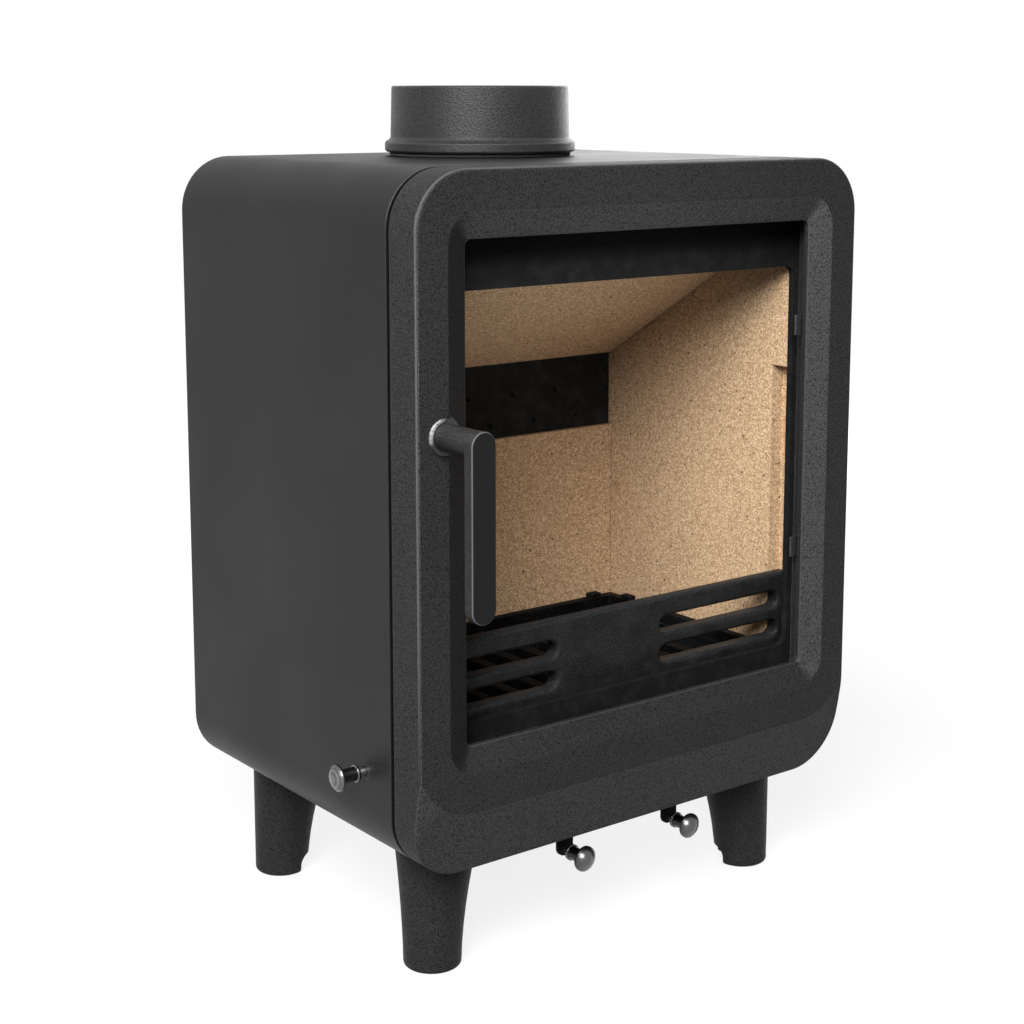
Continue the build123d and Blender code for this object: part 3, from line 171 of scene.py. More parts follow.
class StoveStage(bpy.types.PropertyGroup):
    """Camera, lamps and floor."""
    lens: bpy.props.FloatProperty(name="Lens", description="Focal length of the camera", default=65.467,
                                  subtype="DISTANCE_CAMERA")
    eye: bpy.props.FloatVectorProperty(name="Camera place", description="Where the camera stands",
                                       default=(-0.85401, -1.08767, 0.60225), size=3, subtype="XYZ",
                                       unit="LENGTH")
    turn: bpy.props.FloatProperty(name="Turn", description="How far the camera looks round from straight at "
                                  "the back wall", default=radians(37.3831), subtype="ANGLE")
    tilt: bpy.props.FloatProperty(name="Tilt", description="How far the camera looks down",
                                  default=radians(8.939), subtype="ANGLE")
    rise: bpy.props.FloatProperty(name="Shift", description="Upright shift of the lens", default=-0.12)
    sky: bpy.props.FloatProperty(name="Surrounding light", description="Strength of the light from all sides",
                                 default=0.04, min=0.0)
    key: bpy.props.FloatProperty(name="Main lamp", description="Power of the soft lamp before the stove",
                                 default=110.0, min=0.0, subtype="POWER", unit="POWER")
    fill: bpy.props.FloatProperty(name="Fill lamp", description="Power of the weak lamp behind the stove",
                                  default=22.0, min=0.0, subtype="POWER", unit="POWER")
    beam: bpy.props.FloatProperty(name="Firebox lamp", description="Power of the beam aimed into the firebox",
                                  default=25.0, min=0.0, subtype="POWER", unit="POWER")
    floor_tone: share("Floor tone", "Brightness of the floor", 0.18)
    floor_lift: share("Floor lift", "Light added to the floor as the camera sees it", 0.84)
    floor_reach: length("Floor shadow reach", "Where the floor's shadows have faded to white", 1.1)


# Materials

class Finish:
    """One finish's node tree, with short ways to add and join its nodes."""

    def __init__(self, name):
        self.material = bpy.data.materials.new(name)
        self.material.use_nodes = True
        self.tree = self.material.node_tree
        self.surface = self.tree.nodes["Principled BSDF"]
        self.output = self.tree.nodes["Material Output"]
        self.place = self.add("ShaderNodeTexCoord").outputs["Object"]

    def add(self, kind, **settings):
        made = self.tree.nodes.new(kind)
        for name, value in settings.items():
            setattr(made, name, value)
        return made

    def feed(self, socket, value):
        if isinstance(value, bpy.types.NodeSocket):
            self.tree.links.new(value, socket)
        elif isinstance(value, tuple) and len(value) == 3 and socket.type == "RGBA":
            socket.default_value = (*value, 1.0)
        else:
            socket.default_value = value

    def shine(self, **values):
        for name, value in values.items():
            self.feed(self.surface.inputs[name.replace("_", " ")], value)

    def noise(self, size, detail=2.0, roughness=0.5):
        """Soft noise with features of that size in metres."""
        noise = self.add("ShaderNodeTexNoise")
        self.feed(noise.inputs["Vector"], self.place)
        self.feed(noise.inputs["Scale"], 1.0 / size)
        self.feed(noise.inputs["Detail"], detail)
        self.feed(noise.inputs["Roughness"], roughness)
        return noise

    def cloud(self, *settings):
        """The grey pattern of such noise."""
        return self.noise(*settings).outputs["Fac"]

    def cells(self, size, at, feature="F1"):
        """Broken cells of that size in metres, at the given coordinates."""
        voronoi = self.add("ShaderNodeTexVoronoi", feature=feature)
        self.feed(voronoi.inputs["Vector"], at)
        self.feed(voronoi.inputs["Scale"], 1.0 / size)
        return voronoi

    def sum(self, kind, first, second=0.0, third=0.0):
        made = self.add("ShaderNodeMath", operation=kind)
        for socket, value in zip(made.inputs, (first, second, third)):
            self.feed(socket, value)
        return made.outputs[0]

    def spread(self, value, low, high, to_low=0.0, to_high=1.0):
        """The value's range from low to high stretched to another range and held there."""
        made = self.add("ShaderNodeMapRange")
        for name, given in (("Value", value), ("From Min", low), ("From Max", high), ("To Min", to_low),
                            ("To Max", to_high)):
            self.feed(made.inputs[name], given)
        return made.outputs["Result"]

    def blend(self, amount, first, second, kind="MIX"):
        made = self.add("ShaderNodeMix", data_type="RGBA", blend_type=kind)
        self.feed(made.inputs["Factor"], amount)
        colours = [socket for socket in made.inputs if socket.type == "RGBA"]
        self.feed(colours[0], first)
        self.feed(colours[1], second)
        return [socket for socket in made.outputs if socket.type == "RGBA"][0]

    def ramp(self, value, stops):
        made = self.add("ShaderNodeValToRGB")
        elements = made.color_ramp.elements
        while len(elements) < len(stops):
            elements.new(0.5)
        for element, (place, shade) in zip(elements, stops):
            element.position = place
            element.color = (*shade, 1.0)
        self.feed(made.inputs["Fac"], value)
        return made.outputs["Color"]

    def mottled(self, pattern, band, shade, low, high):
        """The shade times low where the pattern is at the bottom of its band, times high at the top."""
        return self.blend(self.spread(pattern, *band), scaled(shade, low), scaled(shade, high))

    def moved(self, amount, size):
        """Object coordinates pushed about by noise, so that cells lose their straight sides."""
        noise = self.noise(size, 1.0)
        away = self.add("ShaderNodeVectorMath", operation="SUBTRACT")
        self.feed(away.inputs[0], noise.outputs["Color"])
        away.inputs[1].default_value = (0.5, 0.5, 0.5)
        scaled = self.add("ShaderNodeVectorMath", operation="SCALE")
        self.feed(scaled.inputs[0], away.outputs[0])
        scaled.inputs["Scale"].default_value = amount
        total = self.add("ShaderNodeVectorMath", operation="ADD")
        self.feed(total.inputs[0], self.place)
        self.feed(total.inputs[1], scaled.outputs[0])
        return total.outputs[0]

    def turned(self, along, centre):
        """Distance along a turned piece's axis, and the square of the distance out from it."""
        mirrored = self.add("ShaderNodeVectorMath", operation="ABSOLUTE")
        self.feed(mirrored.inputs[0], self.place)
        parts = self.add("ShaderNodeSeparateXYZ")
        self.feed(parts.inputs[0], mirrored.outputs[0])
        across = [self.sum("SUBTRACT", parts.outputs[k], centre[k]) for k in range(3) if k != along]
        squares = self.sum("MULTIPLY_ADD", across[0], across[0], self.sum("MULTIPLY", across[1], across[1]))
        return parts.outputs[along], squares

    def rings(self, along, centre, pitch):
        """Noise that changes only along a turned piece's axis and out from it."""
        run, squares = self.turned(along, centre)
        noise = self.add("ShaderNodeTexNoise", noise_dimensions="1D")
        self.feed(noise.inputs["W"], self.sum("ADD", self.sum("SQRT", squares), run))
        self.feed(noise.inputs["Scale"], 1.0 / pitch)
        return noise.outputs["Fac"]

    def soft_edge(self, radius):
        """The surface's direction with its edges rounded off to that radius."""
        bevel = self.add("ShaderNodeBevel", samples=BEVEL_SAMPLES)
        self.feed(bevel.inputs["Radius"], radius)
        return bevel.outputs["Normal"]

    def edge_mask(self, rounded, reach):
        """1 on edges, falling to 0 on flats, from how far the rounded direction leans."""
        true_way = self.add("ShaderNodeNewGeometry").outputs["Normal"]
        along = self.add("ShaderNodeVectorMath", operation="DOT_PRODUCT")
        self.feed(along.inputs[0], rounded)
        self.feed(along.inputs[1], true_way)
        return self.spread(along.outputs["Value"], 1.0, 1.0 - reach)

    def toward(self, way):
        """How squarely the surface faces that way, from -1 to 1."""
        turned = self.add("ShaderNodeVectorMath", operation="DOT_PRODUCT")
        self.feed(turned.inputs[0], self.add("ShaderNodeTexCoord").outputs["Normal"])
        turned.inputs[1].default_value = way
        return turned.outputs["Value"]

    def facing(self):
        """How squarely the surface faces along Y, from 0 on the sides to 1 on the front and back."""
        return self.sum("ABSOLUTE", self.toward(BACK))

    def round_mask(self):
        """1 on the rounded edge between the front and the sides, 0 on the flats."""
        facing = self.facing()
        off_side, off_front = self.spread(facing, 0.2, 0.45), self.spread(facing, 0.88, 0.68)
        return self.sum("MULTIPLY", off_side, off_front)

    def above(self, low, high):
        """0 below one height on the piece, rising to 1 at another."""
        parts = self.add("ShaderNodeSeparateXYZ")
        self.feed(parts.inputs[0], self.place)
        return self.spread(parts.outputs["Z"], low, high)

    def bumped(self, height, distance, strength=1.0, over=None):
        """The surface's direction, tilted by a height pattern and laid over another direction if given."""
        bump = self.add("ShaderNodeBump")
        self.feed(bump.inputs["Height"], height)
        self.feed(bump.inputs["Distance"], distance)
        self.feed(bump.inputs["Strength"], strength)
        if over:
            self.feed(bump.inputs["Normal"], over)
        return bump.outputs["Normal"]


def scaled(shade, amount):
    return tuple(min(1.0, channel * amount) for channel in shade)


def seen_rays(tree):
    """1 on rays that the camera sees by, straight, off a mirror or through glass, and 0 on the rest."""
    rays = tree.nodes.new("ShaderNodeLightPath")
    seen = rays.outputs["Is Camera Ray"]
    for name in ("Is Glossy Ray", "Is Transmission Ray"):
        either = tree.nodes.new("ShaderNodeMath")
        either.operation = "MAXIMUM"
        tree.links.new(seen, either.inputs[0])
        tree.links.new(rays.outputs[name], either.inputs[1])
        seen = either.outputs[0]
    return seen


def sprayed_paint(name, shade, grain, rough=0.5, edge=0.0016, edge_highlight=30.0):
    """Matte stove paint on sheet steel: a fine even grain with faint broad clouds and painted highlights on
    upper edges.
    """
    finish = Finish(name)
    broad = finish.cloud(0.09, 3.0)
    fine = finish.cloud(0.0011, 2.0, 0.6)
    rounded = finish.soft_edge(edge)
    tone = finish.mottled(broad, SOFT, shade, 0.94, 1.06)
    tone = finish.blend(finish.spread(fine, *CRISP), scaled(shade, 0.9), tone)
    # Painted highlight on the edges, strongest where they face up and a little left
    lit_from_above = finish.spread(finish.toward(MOSTLY_UP), 0.2, 0.8)
    tone = finish.blend(finish.sum("MULTIPLY", finish.edge_mask(rounded, 0.2), lit_from_above), tone,
                        scaled(shade, edge_highlight))
    finish.shine(Base_Color=tone, Specular_IOR_Level=0.27, Metallic=0.0,
                 Roughness=finish.spread(broad, *SOFT, rough - 0.04, rough + 0.04),
                 Normal=finish.bumped(fine, grain, 0.6, rounded))
    return finish.material


def cast_paint(name, shade, grain, rough=0.52, edge=0.0022, edge_highlight=4.0, gloss=0.08, door=False):
    """Painted sand casting: a pebbly skin, soft corners and edges painted a little paler as a highlight.

    On the door the slopes get painted light and shade against the flat front, and the rounded rim a painted
    highlight."""
    finish = Finish(name)
    broad = finish.cloud(0.05, 3.0)
    pebbles = finish.cells(0.0011, finish.moved(0.0005, 0.0018), "SMOOTH_F1")
    fine = finish.cloud(0.0007, 3.0, 0.65)
    skin = finish.sum("MULTIPLY_ADD", pebbles.outputs["Distance"], -0.7, fine)
    rounded = finish.soft_edge(edge)
    tone = finish.mottled(skin, SKIN, shade, 0.25, 1.75)
    tone = finish.blend(finish.spread(broad, *SOFT, 0.0, 0.2), tone, scaled(shade, 1.2))
    edges = finish.edge_mask(rounded, 0.3)
    if door:
        # Painted light and shade on the door's slopes, by the way each one faces
        sloping = finish.spread(finish.facing(), 0.86, 0.9)
        for way, amount in SLOPE_PAINTED_LIGHT:
            leaning = finish.spread(finish.toward(way), 0.14, 0.26)
            tone = finish.blend(finish.sum("MULTIPLY", leaning, sloping), tone,
                                finish.blend(1.0, tone, (amount, amount, amount), "MULTIPLY"))
        # Painted highlight along the door's rounded rim, from one height upward
        rim = finish.sum("MULTIPLY", finish.round_mask(), finish.above(*RIM_HIGHLIGHT_HEIGHTS))
        edges = finish.sum("MAXIMUM", edges, rim)
    # Edges (and the door's rim) painted paler as highlights
    tone = finish.blend(edges, tone, scaled(shade, edge_highlight))
    finish.shine(Base_Color=tone, Specular_IOR_Level=gloss, Metallic=0.0,
                 Roughness=finish.spread(skin, *SKIN, rough + 0.08, rough - 0.06),
                 Normal=finish.bumped(skin, grain, 0.8, rounded))
    return finish.material


def handle_paint(front, side):
    """Smooth satin paint: darker on the grip's flat front, painted light on faces turned up and left, a
    painted highlight on its rounded edge.
    """
    finish = Finish("handle_paint")
    fine = finish.cloud(0.0009, 2.0, 0.6)
    broad = finish.cloud(0.02, 2.0)
    # Painted light on the faces turned up and to the left
    painted_light = finish.spread(finish.toward(UP_LEFT), 0.55, 1.0)
    tone = finish.blend(painted_light, side, scaled(side, 2.0))
    tone = finish.blend(finish.spread(finish.facing(), 0.8, 0.97), tone, front)
    tone = finish.blend(finish.spread(fine, *CRISP), scaled(front, 0.7), tone)
    # Painted highlight on the rounded edge
    tone = finish.blend(finish.round_mask(), tone, scaled(side, 4.0))
    finish.shine(Base_Color=tone, Specular_IOR_Level=0.1, Metallic=0.0,
                 Roughness=finish.spread(broad, *SOFT, 0.3, 0.4),
                 Normal=finish.bumped(fine, 0.00004, 0.5, finish.soft_edge(0.0008)))
    return finish.material


def fire_iron(name, shade, grain, ash_and_top_light, gloss):
    """Bare iron in the fire, unevenly oxidised: ash and painted light on level tops, painted highlights on
    edges.
    """
    finish = Finish(name)
    broad = finish.cloud(0.018, 4.0, 0.6)
    fine = finish.cloud(0.0014, 3.0, 0.65)
    rounded = finish.soft_edge(0.0018)
    tone = finish.mottled(broad, (0.32, 0.68), shade, 0.6, 1.5)
    # Ash on level tops, which also paints them lighter and cooler as light falls on them
    tone = finish.blend(finish.spread(finish.toward(UP), 0.25, 0.85), tone, ash_and_top_light)
    dark, full = (0.25,) * 3, (1.0,) * 3
    grains = finish.ramp(finish.spread(fine, 0.36, 0.64), ((0.0, dark), (1.0, full)))
    tone = finish.blend(1.0, tone, grains, "MULTIPLY")
    # Painted highlights on the edges
    tone = finish.blend(finish.edge_mask(rounded, 0.3), tone, scaled(shade, 2.4))
    finish.shine(Base_Color=tone, Specular_IOR_Level=gloss, Metallic=0.0,
                 Roughness=finish.spread(broad, *SOFT, 0.34, 0.46),
                 Normal=finish.bumped(fine, grain, 0.8, rounded))
    return finish.material


def heat_black(name, shade, rough=0.62, shadow_heights=None):
    """Dead black heat-proof paint on the folded plates, faintly dusty.

    Where two heights are given, a painted shadow darkens it from the one to the other."""
    finish = Finish(name)
    dust = finish.cloud(0.012, 5.0, 0.62)
    fine = finish.cloud(0.0013, 2.0, 0.6)
    tone = finish.blend(finish.spread(dust, 0.45, 0.75), shade, scaled(shade, 1.9))
    if shadow_heights:
        # Painted shadow from one height up
        tone = finish.blend(finish.above(*shadow_heights), tone, scaled(shade, 0.3))
    finish.shine(Base_Color=tone, Specular_IOR_Level=0.03, Metallic=0.0,
                 Roughness=finish.spread(dust, *SOFT, rough, rough + 0.15),
                 Normal=finish.bumped(fine, 0.0001, 0.6, finish.soft_edge(0.0006)))
    return finish.material


def vermiculite(shade, dark, light, size):
    """Pressed vermiculite board: close-packed flakes from dark brown to cream."""
    finish = Finish("vermiculite_board")
    shaken = finish.moved(size * 0.8, size * 1.4)
    flakes = finish.cells(size, shaken)
    crumbs = finish.cells(size * 0.45, shaken)
    pits = finish.cells(0.013, shaken)
    broad = finish.cloud(0.07, 2.0)

    def pick(cells):
        parts = finish.add("ShaderNodeSeparateColor")
        finish.feed(parts.inputs[0], cells.outputs["Color"])
        return parts.outputs[0]

    stops = ((0.0, dark), (0.10, scaled(shade, 0.45)), (0.26, scaled(shade, 0.72)), (0.62, shade),
             (0.9, light), (1.0, scaled(light, 1.05)))
    tone = finish.blend(0.4, finish.ramp(pick(flakes), stops), finish.ramp(pick(crumbs), stops))
    tone = finish.blend(finish.spread(broad, *SOFT, 0.0, 0.16), tone, scaled(shade, 0.8))
    hole = finish.spread(pits.outputs["Distance"], 0.10, 0.06)
    tone = finish.blend(finish.sum("MULTIPLY", hole, 0.85), tone, scaled(dark, 0.5))
    height = finish.sum("MULTIPLY_ADD", pick(flakes), 0.6, finish.sum("MULTIPLY", pick(crumbs), 0.4))
    height = finish.sum("MULTIPLY_ADD", hole, -1.5, height)
    finish.shine(Base_Color=tone, Specular_IOR_Level=0.25, Roughness=0.9,
                 Normal=finish.bumped(height, 0.0003, 0.55, finish.soft_edge(0.0012)))
    return finish.material


def bright_metal(shade):
    """Bright drawn steel, faintly smeared."""
    finish = Finish("bright_steel")
    smear = finish.cloud(0.004, 3.0)
    drawn = finish.cloud(0.0011, 2.0)
    tone = finish.mottled(drawn, CRISP, shade, 0.7, 1.25)
    finish.shine(Base_Color=tone, Metallic=1.0,
                 Roughness=finish.spread(smear, *SOFT, 0.21, 0.31),
                 Normal=finish.bumped(drawn, 0.00003, 0.5, finish.soft_edge(0.0005)))
    return finish.material


def knob_metal(name, shade, along, centre, face, dome, lines):
    """Dark nickel on a turned knob: domed face, painted highlights on its rims, painted shade off its face,
    and lathe rings.
    """
    finish = Finish(name)
    out = finish.turned(along, centre)[1]
    rings = finish.rings(along, centre, 0.0011)
    rounded = finish.soft_edge(0.0005)
    tone = finish.mottled(rings, CRISP, shade, 1.0 - lines, 1.0 + lines)
    # Painted shade where the surface turns away from the knob's face
    tone = finish.blend(finish.spread(finish.toward(face), 0.5, 0.9), scaled(shade, 0.35), tone)
    # Painted highlights on the rims
    tone = finish.blend(finish.edge_mask(rounded, 0.3), tone, scaled(shade, 3.0))
    swell = finish.bumped(finish.sum("MULTIPLY", out, -dome), 1.0, 1.0, rounded)
    finish.shine(Base_Color=tone, Metallic=1.0, Roughness=finish.spread(rings, *SOFT, 0.26, 0.34),
                 Normal=finish.bumped(rings, 0.00006 * lines, 0.5, swell))
    return finish.material


def serrated_washer(shade, centre, radius):
    """Zinc washer with a serrated rim: a painted highlight along the upper left of the rim, painted shade
    elsewhere.
    """
    finish = Finish("washer_zinc")
    apart = finish.add("ShaderNodeVectorMath", operation="SUBTRACT")
    finish.feed(apart.inputs[0], finish.place)
    apart.inputs[1].default_value = centre
    aside = finish.add("ShaderNodeVectorMath", operation="DOT_PRODUCT")
    finish.feed(aside.inputs[0], apart.outputs[0])
    left, up = -0.85, 0.53
    aside.inputs[1].default_value = (left / radius, 0.0, up / radius)
    teeth = finish.cells(0.0016, finish.moved(0.0004, 0.001))
    parts = finish.add("ShaderNodeSeparateColor")
    finish.feed(parts.inputs[0], teeth.outputs["Color"])
    out = finish.add("ShaderNodeVectorMath", operation="LENGTH")
    finish.feed(out.inputs[0], apart.outputs[0])
    rim = finish.spread(out.outputs["Value"], 0.82 * radius, 0.88 * radius)
    # Painted highlight along the rim's upper left arc; the rest of the washer gets painted shade
    painted_light = finish.sum("MULTIPLY", finish.spread(aside.outputs["Value"], 0.5, 0.9), rim)
    bright = finish.sum("MULTIPLY", painted_light, finish.spread(parts.outputs[0], 0.1, 0.7, 0.35, 1.0))
    finish.shine(Base_Color=finish.blend(bright, scaled(shade, 0.05), shade), Metallic=0.3, Roughness=0.5,
                 Normal=finish.bumped(teeth.outputs["Distance"], 0.0004, 0.8, finish.soft_edge(0.0004)))
    return finish.material


def plated_steel(name, shade, rough):
    """Zinc plated or blued fasteners with a cloudy passivated skin."""
    finish = Finish(name)
    cloudy = finish.cloud(0.0035, 4.0, 0.6)
    tone = finish.mottled(cloudy, SOFT, shade, 0.75, 1.15)
    finish.shine(Base_Color=tone, Metallic=0.9,
                 Roughness=finish.spread(cloudy, *SOFT, rough - 0.06, rough + 0.08),
                 Normal=finish.bumped(cloudy, 0.00004, 0.5, finish.soft_edge(0.0004)))
    return finish.material


def knitted_rope(shade):
    """Black glass yarn: fine fibres that catch a little light."""
    finish = Finish("glass_yarn")
    yarn = finish.cloud(0.0009, 4.0, 0.7)
    tone = finish.mottled(yarn, CRISP, shade, 0.4, 1.7)
    finish.shine(Base_Color=tone, Specular_IOR_Level=0.3, Roughness=0.85, Sheen_Weight=0.25,
                 Sheen_Roughness=0.4, Normal=finish.bumped(yarn, 0.0003, 0.8))
    return finish.material


def stove_glass():
    """Clear ceramic glass: it passes light straight through and mirrors a little at a slant."""
    finish = Finish("ceramic_glass")
    haze = finish.cloud(0.05, 3.0)
    clear = finish.add("ShaderNodeBsdfTransparent")
    clear.inputs["Color"].default_value = (*GLASS_TINT, 1.0)
    slant = finish.add("ShaderNodeFresnel")
    slant.inputs["IOR"].default_value = GLASS_INDEX
    finish.shine(Base_Color=(0.02, 0.02, 0.02), Metallic=0.0, Specular_IOR_Level=0.5,
                 Roughness=finish.spread(haze, *SOFT, 0.03, 0.07))
    both = finish.add("ShaderNodeMixShader")
    inside = finish.add("ShaderNodeNewGeometry").outputs["Backfacing"]
    finish.feed(both.inputs[0], finish.blend(inside, finish.sum("MULTIPLY", slant.outputs[0], GLASS_MIRROR),
                                             (0.0, 0.0, 0.0)))
    finish.feed(both.inputs[1], clear.outputs[0])
    finish.feed(both.inputs[2], finish.surface.outputs[0])
    finish.feed(finish.output.inputs["Surface"], both.outputs[0])
    return finish.material


def dress(material, nodes):
    for name in nodes:
        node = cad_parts[name]
        node.data.materials.clear()
        node.data.materials.append(material)


# Soft seals

def new_piece(name, mesh, body, slot, *stands_for):
    piece = bpy.data.objects.new(name, mesh)
    bpy.context.scene.collection.objects.link(piece)
    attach(piece, body)
    if stands_for:
        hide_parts(*stands_for)
    return piece


def wind(name, section, places, material):
    """A closed ring made by extruding a section from each place to the next until it meets itself.

    The section is its number of strands, half its width and half its height."""
    shape = bmesh.new()
    strands, across, upright = section
    bmesh.ops.create_circle(shape, cap_ends=False, radius=1.0, segments=ROUND_STRAND * strands)
    for corner in shape.verts:
        turn = round(2 * strands * (1 + Vector((1, 0)).angle_signed(corner.co.xy) / pi)) % 2
        corner.co *= 1.0 if strands < 3 or turn else VALLEY
    squash = Matrix.Diagonal((across, upright, 1.0, 1.0))
    stand = Matrix.Rotation(pi / 2, 4, "X")
    steps = [place @ stand @ squash @ Matrix.Rotation(twist, 4, "Z") for place, twist in places]
    bmesh.ops.transform(shape, matrix=steps[0], verts=shape.verts)
    rim = list(shape.edges)
    for before, after in zip(steps, steps[1:]):
        grown = bmesh.ops.extrude_edge_only(shape, edges=rim)["geom"]
        rim = [part for part in grown if isinstance(part, bmesh.types.BMEdge)
               and all(corner in grown for corner in part.verts)]
        corners = [part for part in grown if isinstance(part, bmesh.types.BMVert)]
        bmesh.ops.transform(shape, matrix=after @ before.inverted(), verts=corners)
    bmesh.ops.remove_doubles(shape, verts=shape.verts, dist=JOIN_GAP)
    bmesh.ops.recalc_face_normals(shape, faces=shape.faces)
    for face in shape.faces:
        face.smooth = True
    mesh = bpy.data.meshes.new(name)
    shape.to_mesh(mesh)
    shape.free()
    mesh.materials.append(material)
    return mesh


def round_ring(centre, radius, strand, strands):
    """Places round a level circle, with a twist that closes on itself."""
    turns = max(1, round(2 * pi * radius / (strand * strands)))
    count = turns * strands * ALONG_STRAND
    return [(Matrix.Translation(centre) @ Matrix.Rotation(2 * pi * k / count, 4, "Z")
             @ Matrix.Translation((radius, 0, 0)), 2 * pi * turns * k / count) for k in range(count + 1)]


def door_loop(low, high, corner, depth, strand, strands):
    """Places round an upright rectangle with rounded corners, with a twist that closes on itself.

    A section of two strands is a flat tape: it isn't twisted, and strand is the length of its steps."""
    centre_x, centre_z = (low.x + high.x) / 2, (low.z + high.z) / 2
    half_x, half_z = (high.x - low.x) / 2 - corner, (high.z - low.z) / 2 - corner
    arc = pi / 2 * corner
    sides = ((half_x, half_z, 2 * half_z), (-half_x, half_z, 2 * half_x),
             (-half_x, -half_z, 2 * half_z), (half_x, -half_z, 2 * half_x))
    total = 4 * (half_x + half_z) + 4 * arc
    turns = max(1, round(total / (strand * strands))) if strands > 2 else 0
    count = turns * strands * ALONG_STRAND if turns else ceil(total / strand)
    places = []
    for k in range(count + 1):
        left = total * (k % count) / count
        for quarter, (x, z, straight) in enumerate(sides):
            if left <= straight + arc:
                break
            left -= straight + arc
        run, bend = min(left, straight), max(0.0, left - straight) / corner
        angle = quarter * pi / 2
        along = Vector((-sin(angle), 0, cos(angle)))
        middle = Vector((x, 0, z)) - along * straight + along * run
        turn = Matrix.Rotation(-(angle + bend), 4, "Y")
        places.append((Matrix.Translation((centre_x, depth, centre_z)) @ Matrix.Translation(middle) @ turn
                       @ Matrix.Translation((corner, 0, 0)) @ Matrix.Rotation(pi / 2, 4, "X"),
                       2 * pi * turns * k / count))
    return places


# Operators

class StoveOperator(bpy.types.Operator):
    """Shared settings of the stove's operators."""
    bl_options = {"REGISTER", "UNDO"}

    @property
    def finishes(self):
        return bpy.context.scene.stove_finishes

    @property
    def ropes(self):
        return bpy.context.scene.stove_ropes


class STOVE_OT_casing(StoveOperator):
    """Finish the folded casing, its rear panel and the rear blanking plate"""
    bl_idname = "stove.casing"
    bl_label = "Casing"

    def execute(self, context):
        shade = tuple(self.finishes.casing_colour)
        dress(sprayed_paint("casing_paint", shade, self.finishes.paint_grain), CASING_NODES)
        dress(sprayed_paint("bush_paint", shade, self.finishes.paint_grain, edge_highlight=2.0), BUSH_NODES)
        return {"FINISHED"}


class STOVE_OT_castings(StoveOperator):
    """Finish the door, collar, legs, handle and hinges"""
    bl_idname = "stove.castings"
    bl_label = "Castings"

    def execute(self, context):
        shade, grain = tuple(self.finishes.casting_colour), self.finishes.casting_grain
        dress(cast_paint("door_casting_paint", shade, grain, door=True), DOOR_NODES)
        dress(cast_paint("collar_casting_paint", scaled(shade, 0.8), grain * 0.6, rough=0.4, edge=0.0014,
                         edge_highlight=5.0, gloss=0.28), COLLAR_NODES)
        dress(cast_paint("leg_casting_paint", scaled(shade, 0.9), grain * 0.7, rough=0.5, edge=0.0015),
              LEG_NODES)
        dress(handle_paint(scaled(shade, 0.45), scaled(shade, 1.3)), HANDLE_NODES)
        dress(cast_paint("hinge_casting_paint", shade, grain * 0.4, rough=0.5, edge=0.0008), HINGE_NODES)
        return {"FINISHED"}


class STOVE_OT_grate(StoveOperator):
    """Finish the log guard, the grate frame and the riddling grate"""
    bl_idname = "stove.grate"
    bl_label = "Grate and log guard"

    def execute(self, context):
        shade, grain = tuple(self.finishes.grate_colour), self.finishes.casting_grain
        dress(fire_iron("guard_iron", shade, grain, GUARD_ASH_AND_TOP_LIGHT, gloss=0.08), GUARD_NODES)
        dress(fire_iron("grate_iron", scaled(shade, 0.4), grain, GRATE_ASH_AND_TOP_LIGHT, gloss=0.02), GRATE_NODES)
        return {"FINISHED"}


class STOVE_OT_inner_plates(StoveOperator):
    """Finish the folded plates and ducts inside the casing, the ash pan and the air slides"""
    bl_idname = "stove.inner_plates"
    bl_label = "Inner plates"

    def execute(self, context):
        shade = tuple(self.finishes.inner_colour)
        dress(heat_black("heat_proof_black", shade), INNER_NODES)
        # The front plate is painted lighter than the inner plates as painted light, with a painted shadow
        # along its top
        dress(heat_black("front_black", scaled(shade, 1.35), shadow_heights=PAINTED_SHADOW_HEIGHTS), FRONT_NODES)
        dress(heat_black("duct_black", scaled(shade, 1.7)), DUCT_NODES)
        dress(heat_black("slide_black", scaled(shade, 1.3), rough=0.5), SLIDE_NODES)
        return {"FINISHED"}


class STOVE_OT_firebricks(StoveOperator):
    """Finish the side bricks, the rear brick and the baffle"""
    bl_idname = "stove.firebricks"
    bl_label = "Firebricks and baffle"

    def execute(self, context):
        kept = self.finishes
        dress(vermiculite(tuple(kept.brick_colour), tuple(kept.brick_dark), tuple(kept.brick_light),
                          kept.flake_size), BRICK_NODES)
        return {"FINISHED"}


class STOVE_OT_metalwork(StoveOperator):
    """Finish the turned knobs, bright rods and washer, glass clips, latch and fasteners"""
    bl_idname = "stove.metalwork"
    bl_label = "Knobs and fasteners"

    def execute(self, context):
        kept = self.finishes
        nickel, bright = tuple(kept.nickel_colour), tuple(kept.steel_colour)
        side, right = self.middle("riddle_knob"), self.middle("secondary_knob")
        # The side knob's nickel is painted 1.6 times lighter than the air knobs' as painted light
        dress(knob_metal("side_knob_nickel", scaled(nickel, 1.6), X_AXIS, side, LEFT, dome=8.0, lines=0.3),
              SIDE_KNOB_NODES)
        dress(knob_metal("air_knob_nickel", nickel, Y_AXIS, right, FRONT, dome=36.0, lines=0.06),
              AIR_KNOB_NODES)
        dress(bright_metal(bright), BRIGHT_NODES)
        low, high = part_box("handle_washer")
        dress(serrated_washer(scaled(bright, 0.85), (low + high) / 2, (high.z - low.z) / 2), WASHER_NODES)
        dress(plated_steel("clip_steel", scaled(bright, 0.35), rough=0.4), CLIP_NODES)
        dress(plated_steel("zinc_plate", tuple(kept.zinc_colour), rough=0.35), ZINC_NODES)
        dress(plated_steel("blued_screws", scaled(bright, 0.1), rough=0.4), SCREW_NODES)
        return {"FINISHED"}

    def middle(self, node):
        """The middle of a piece's box, on the positive side of every axis."""
        low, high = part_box(node)
        return tuple(abs(one + other) / 2 for one, other in zip(low, high))


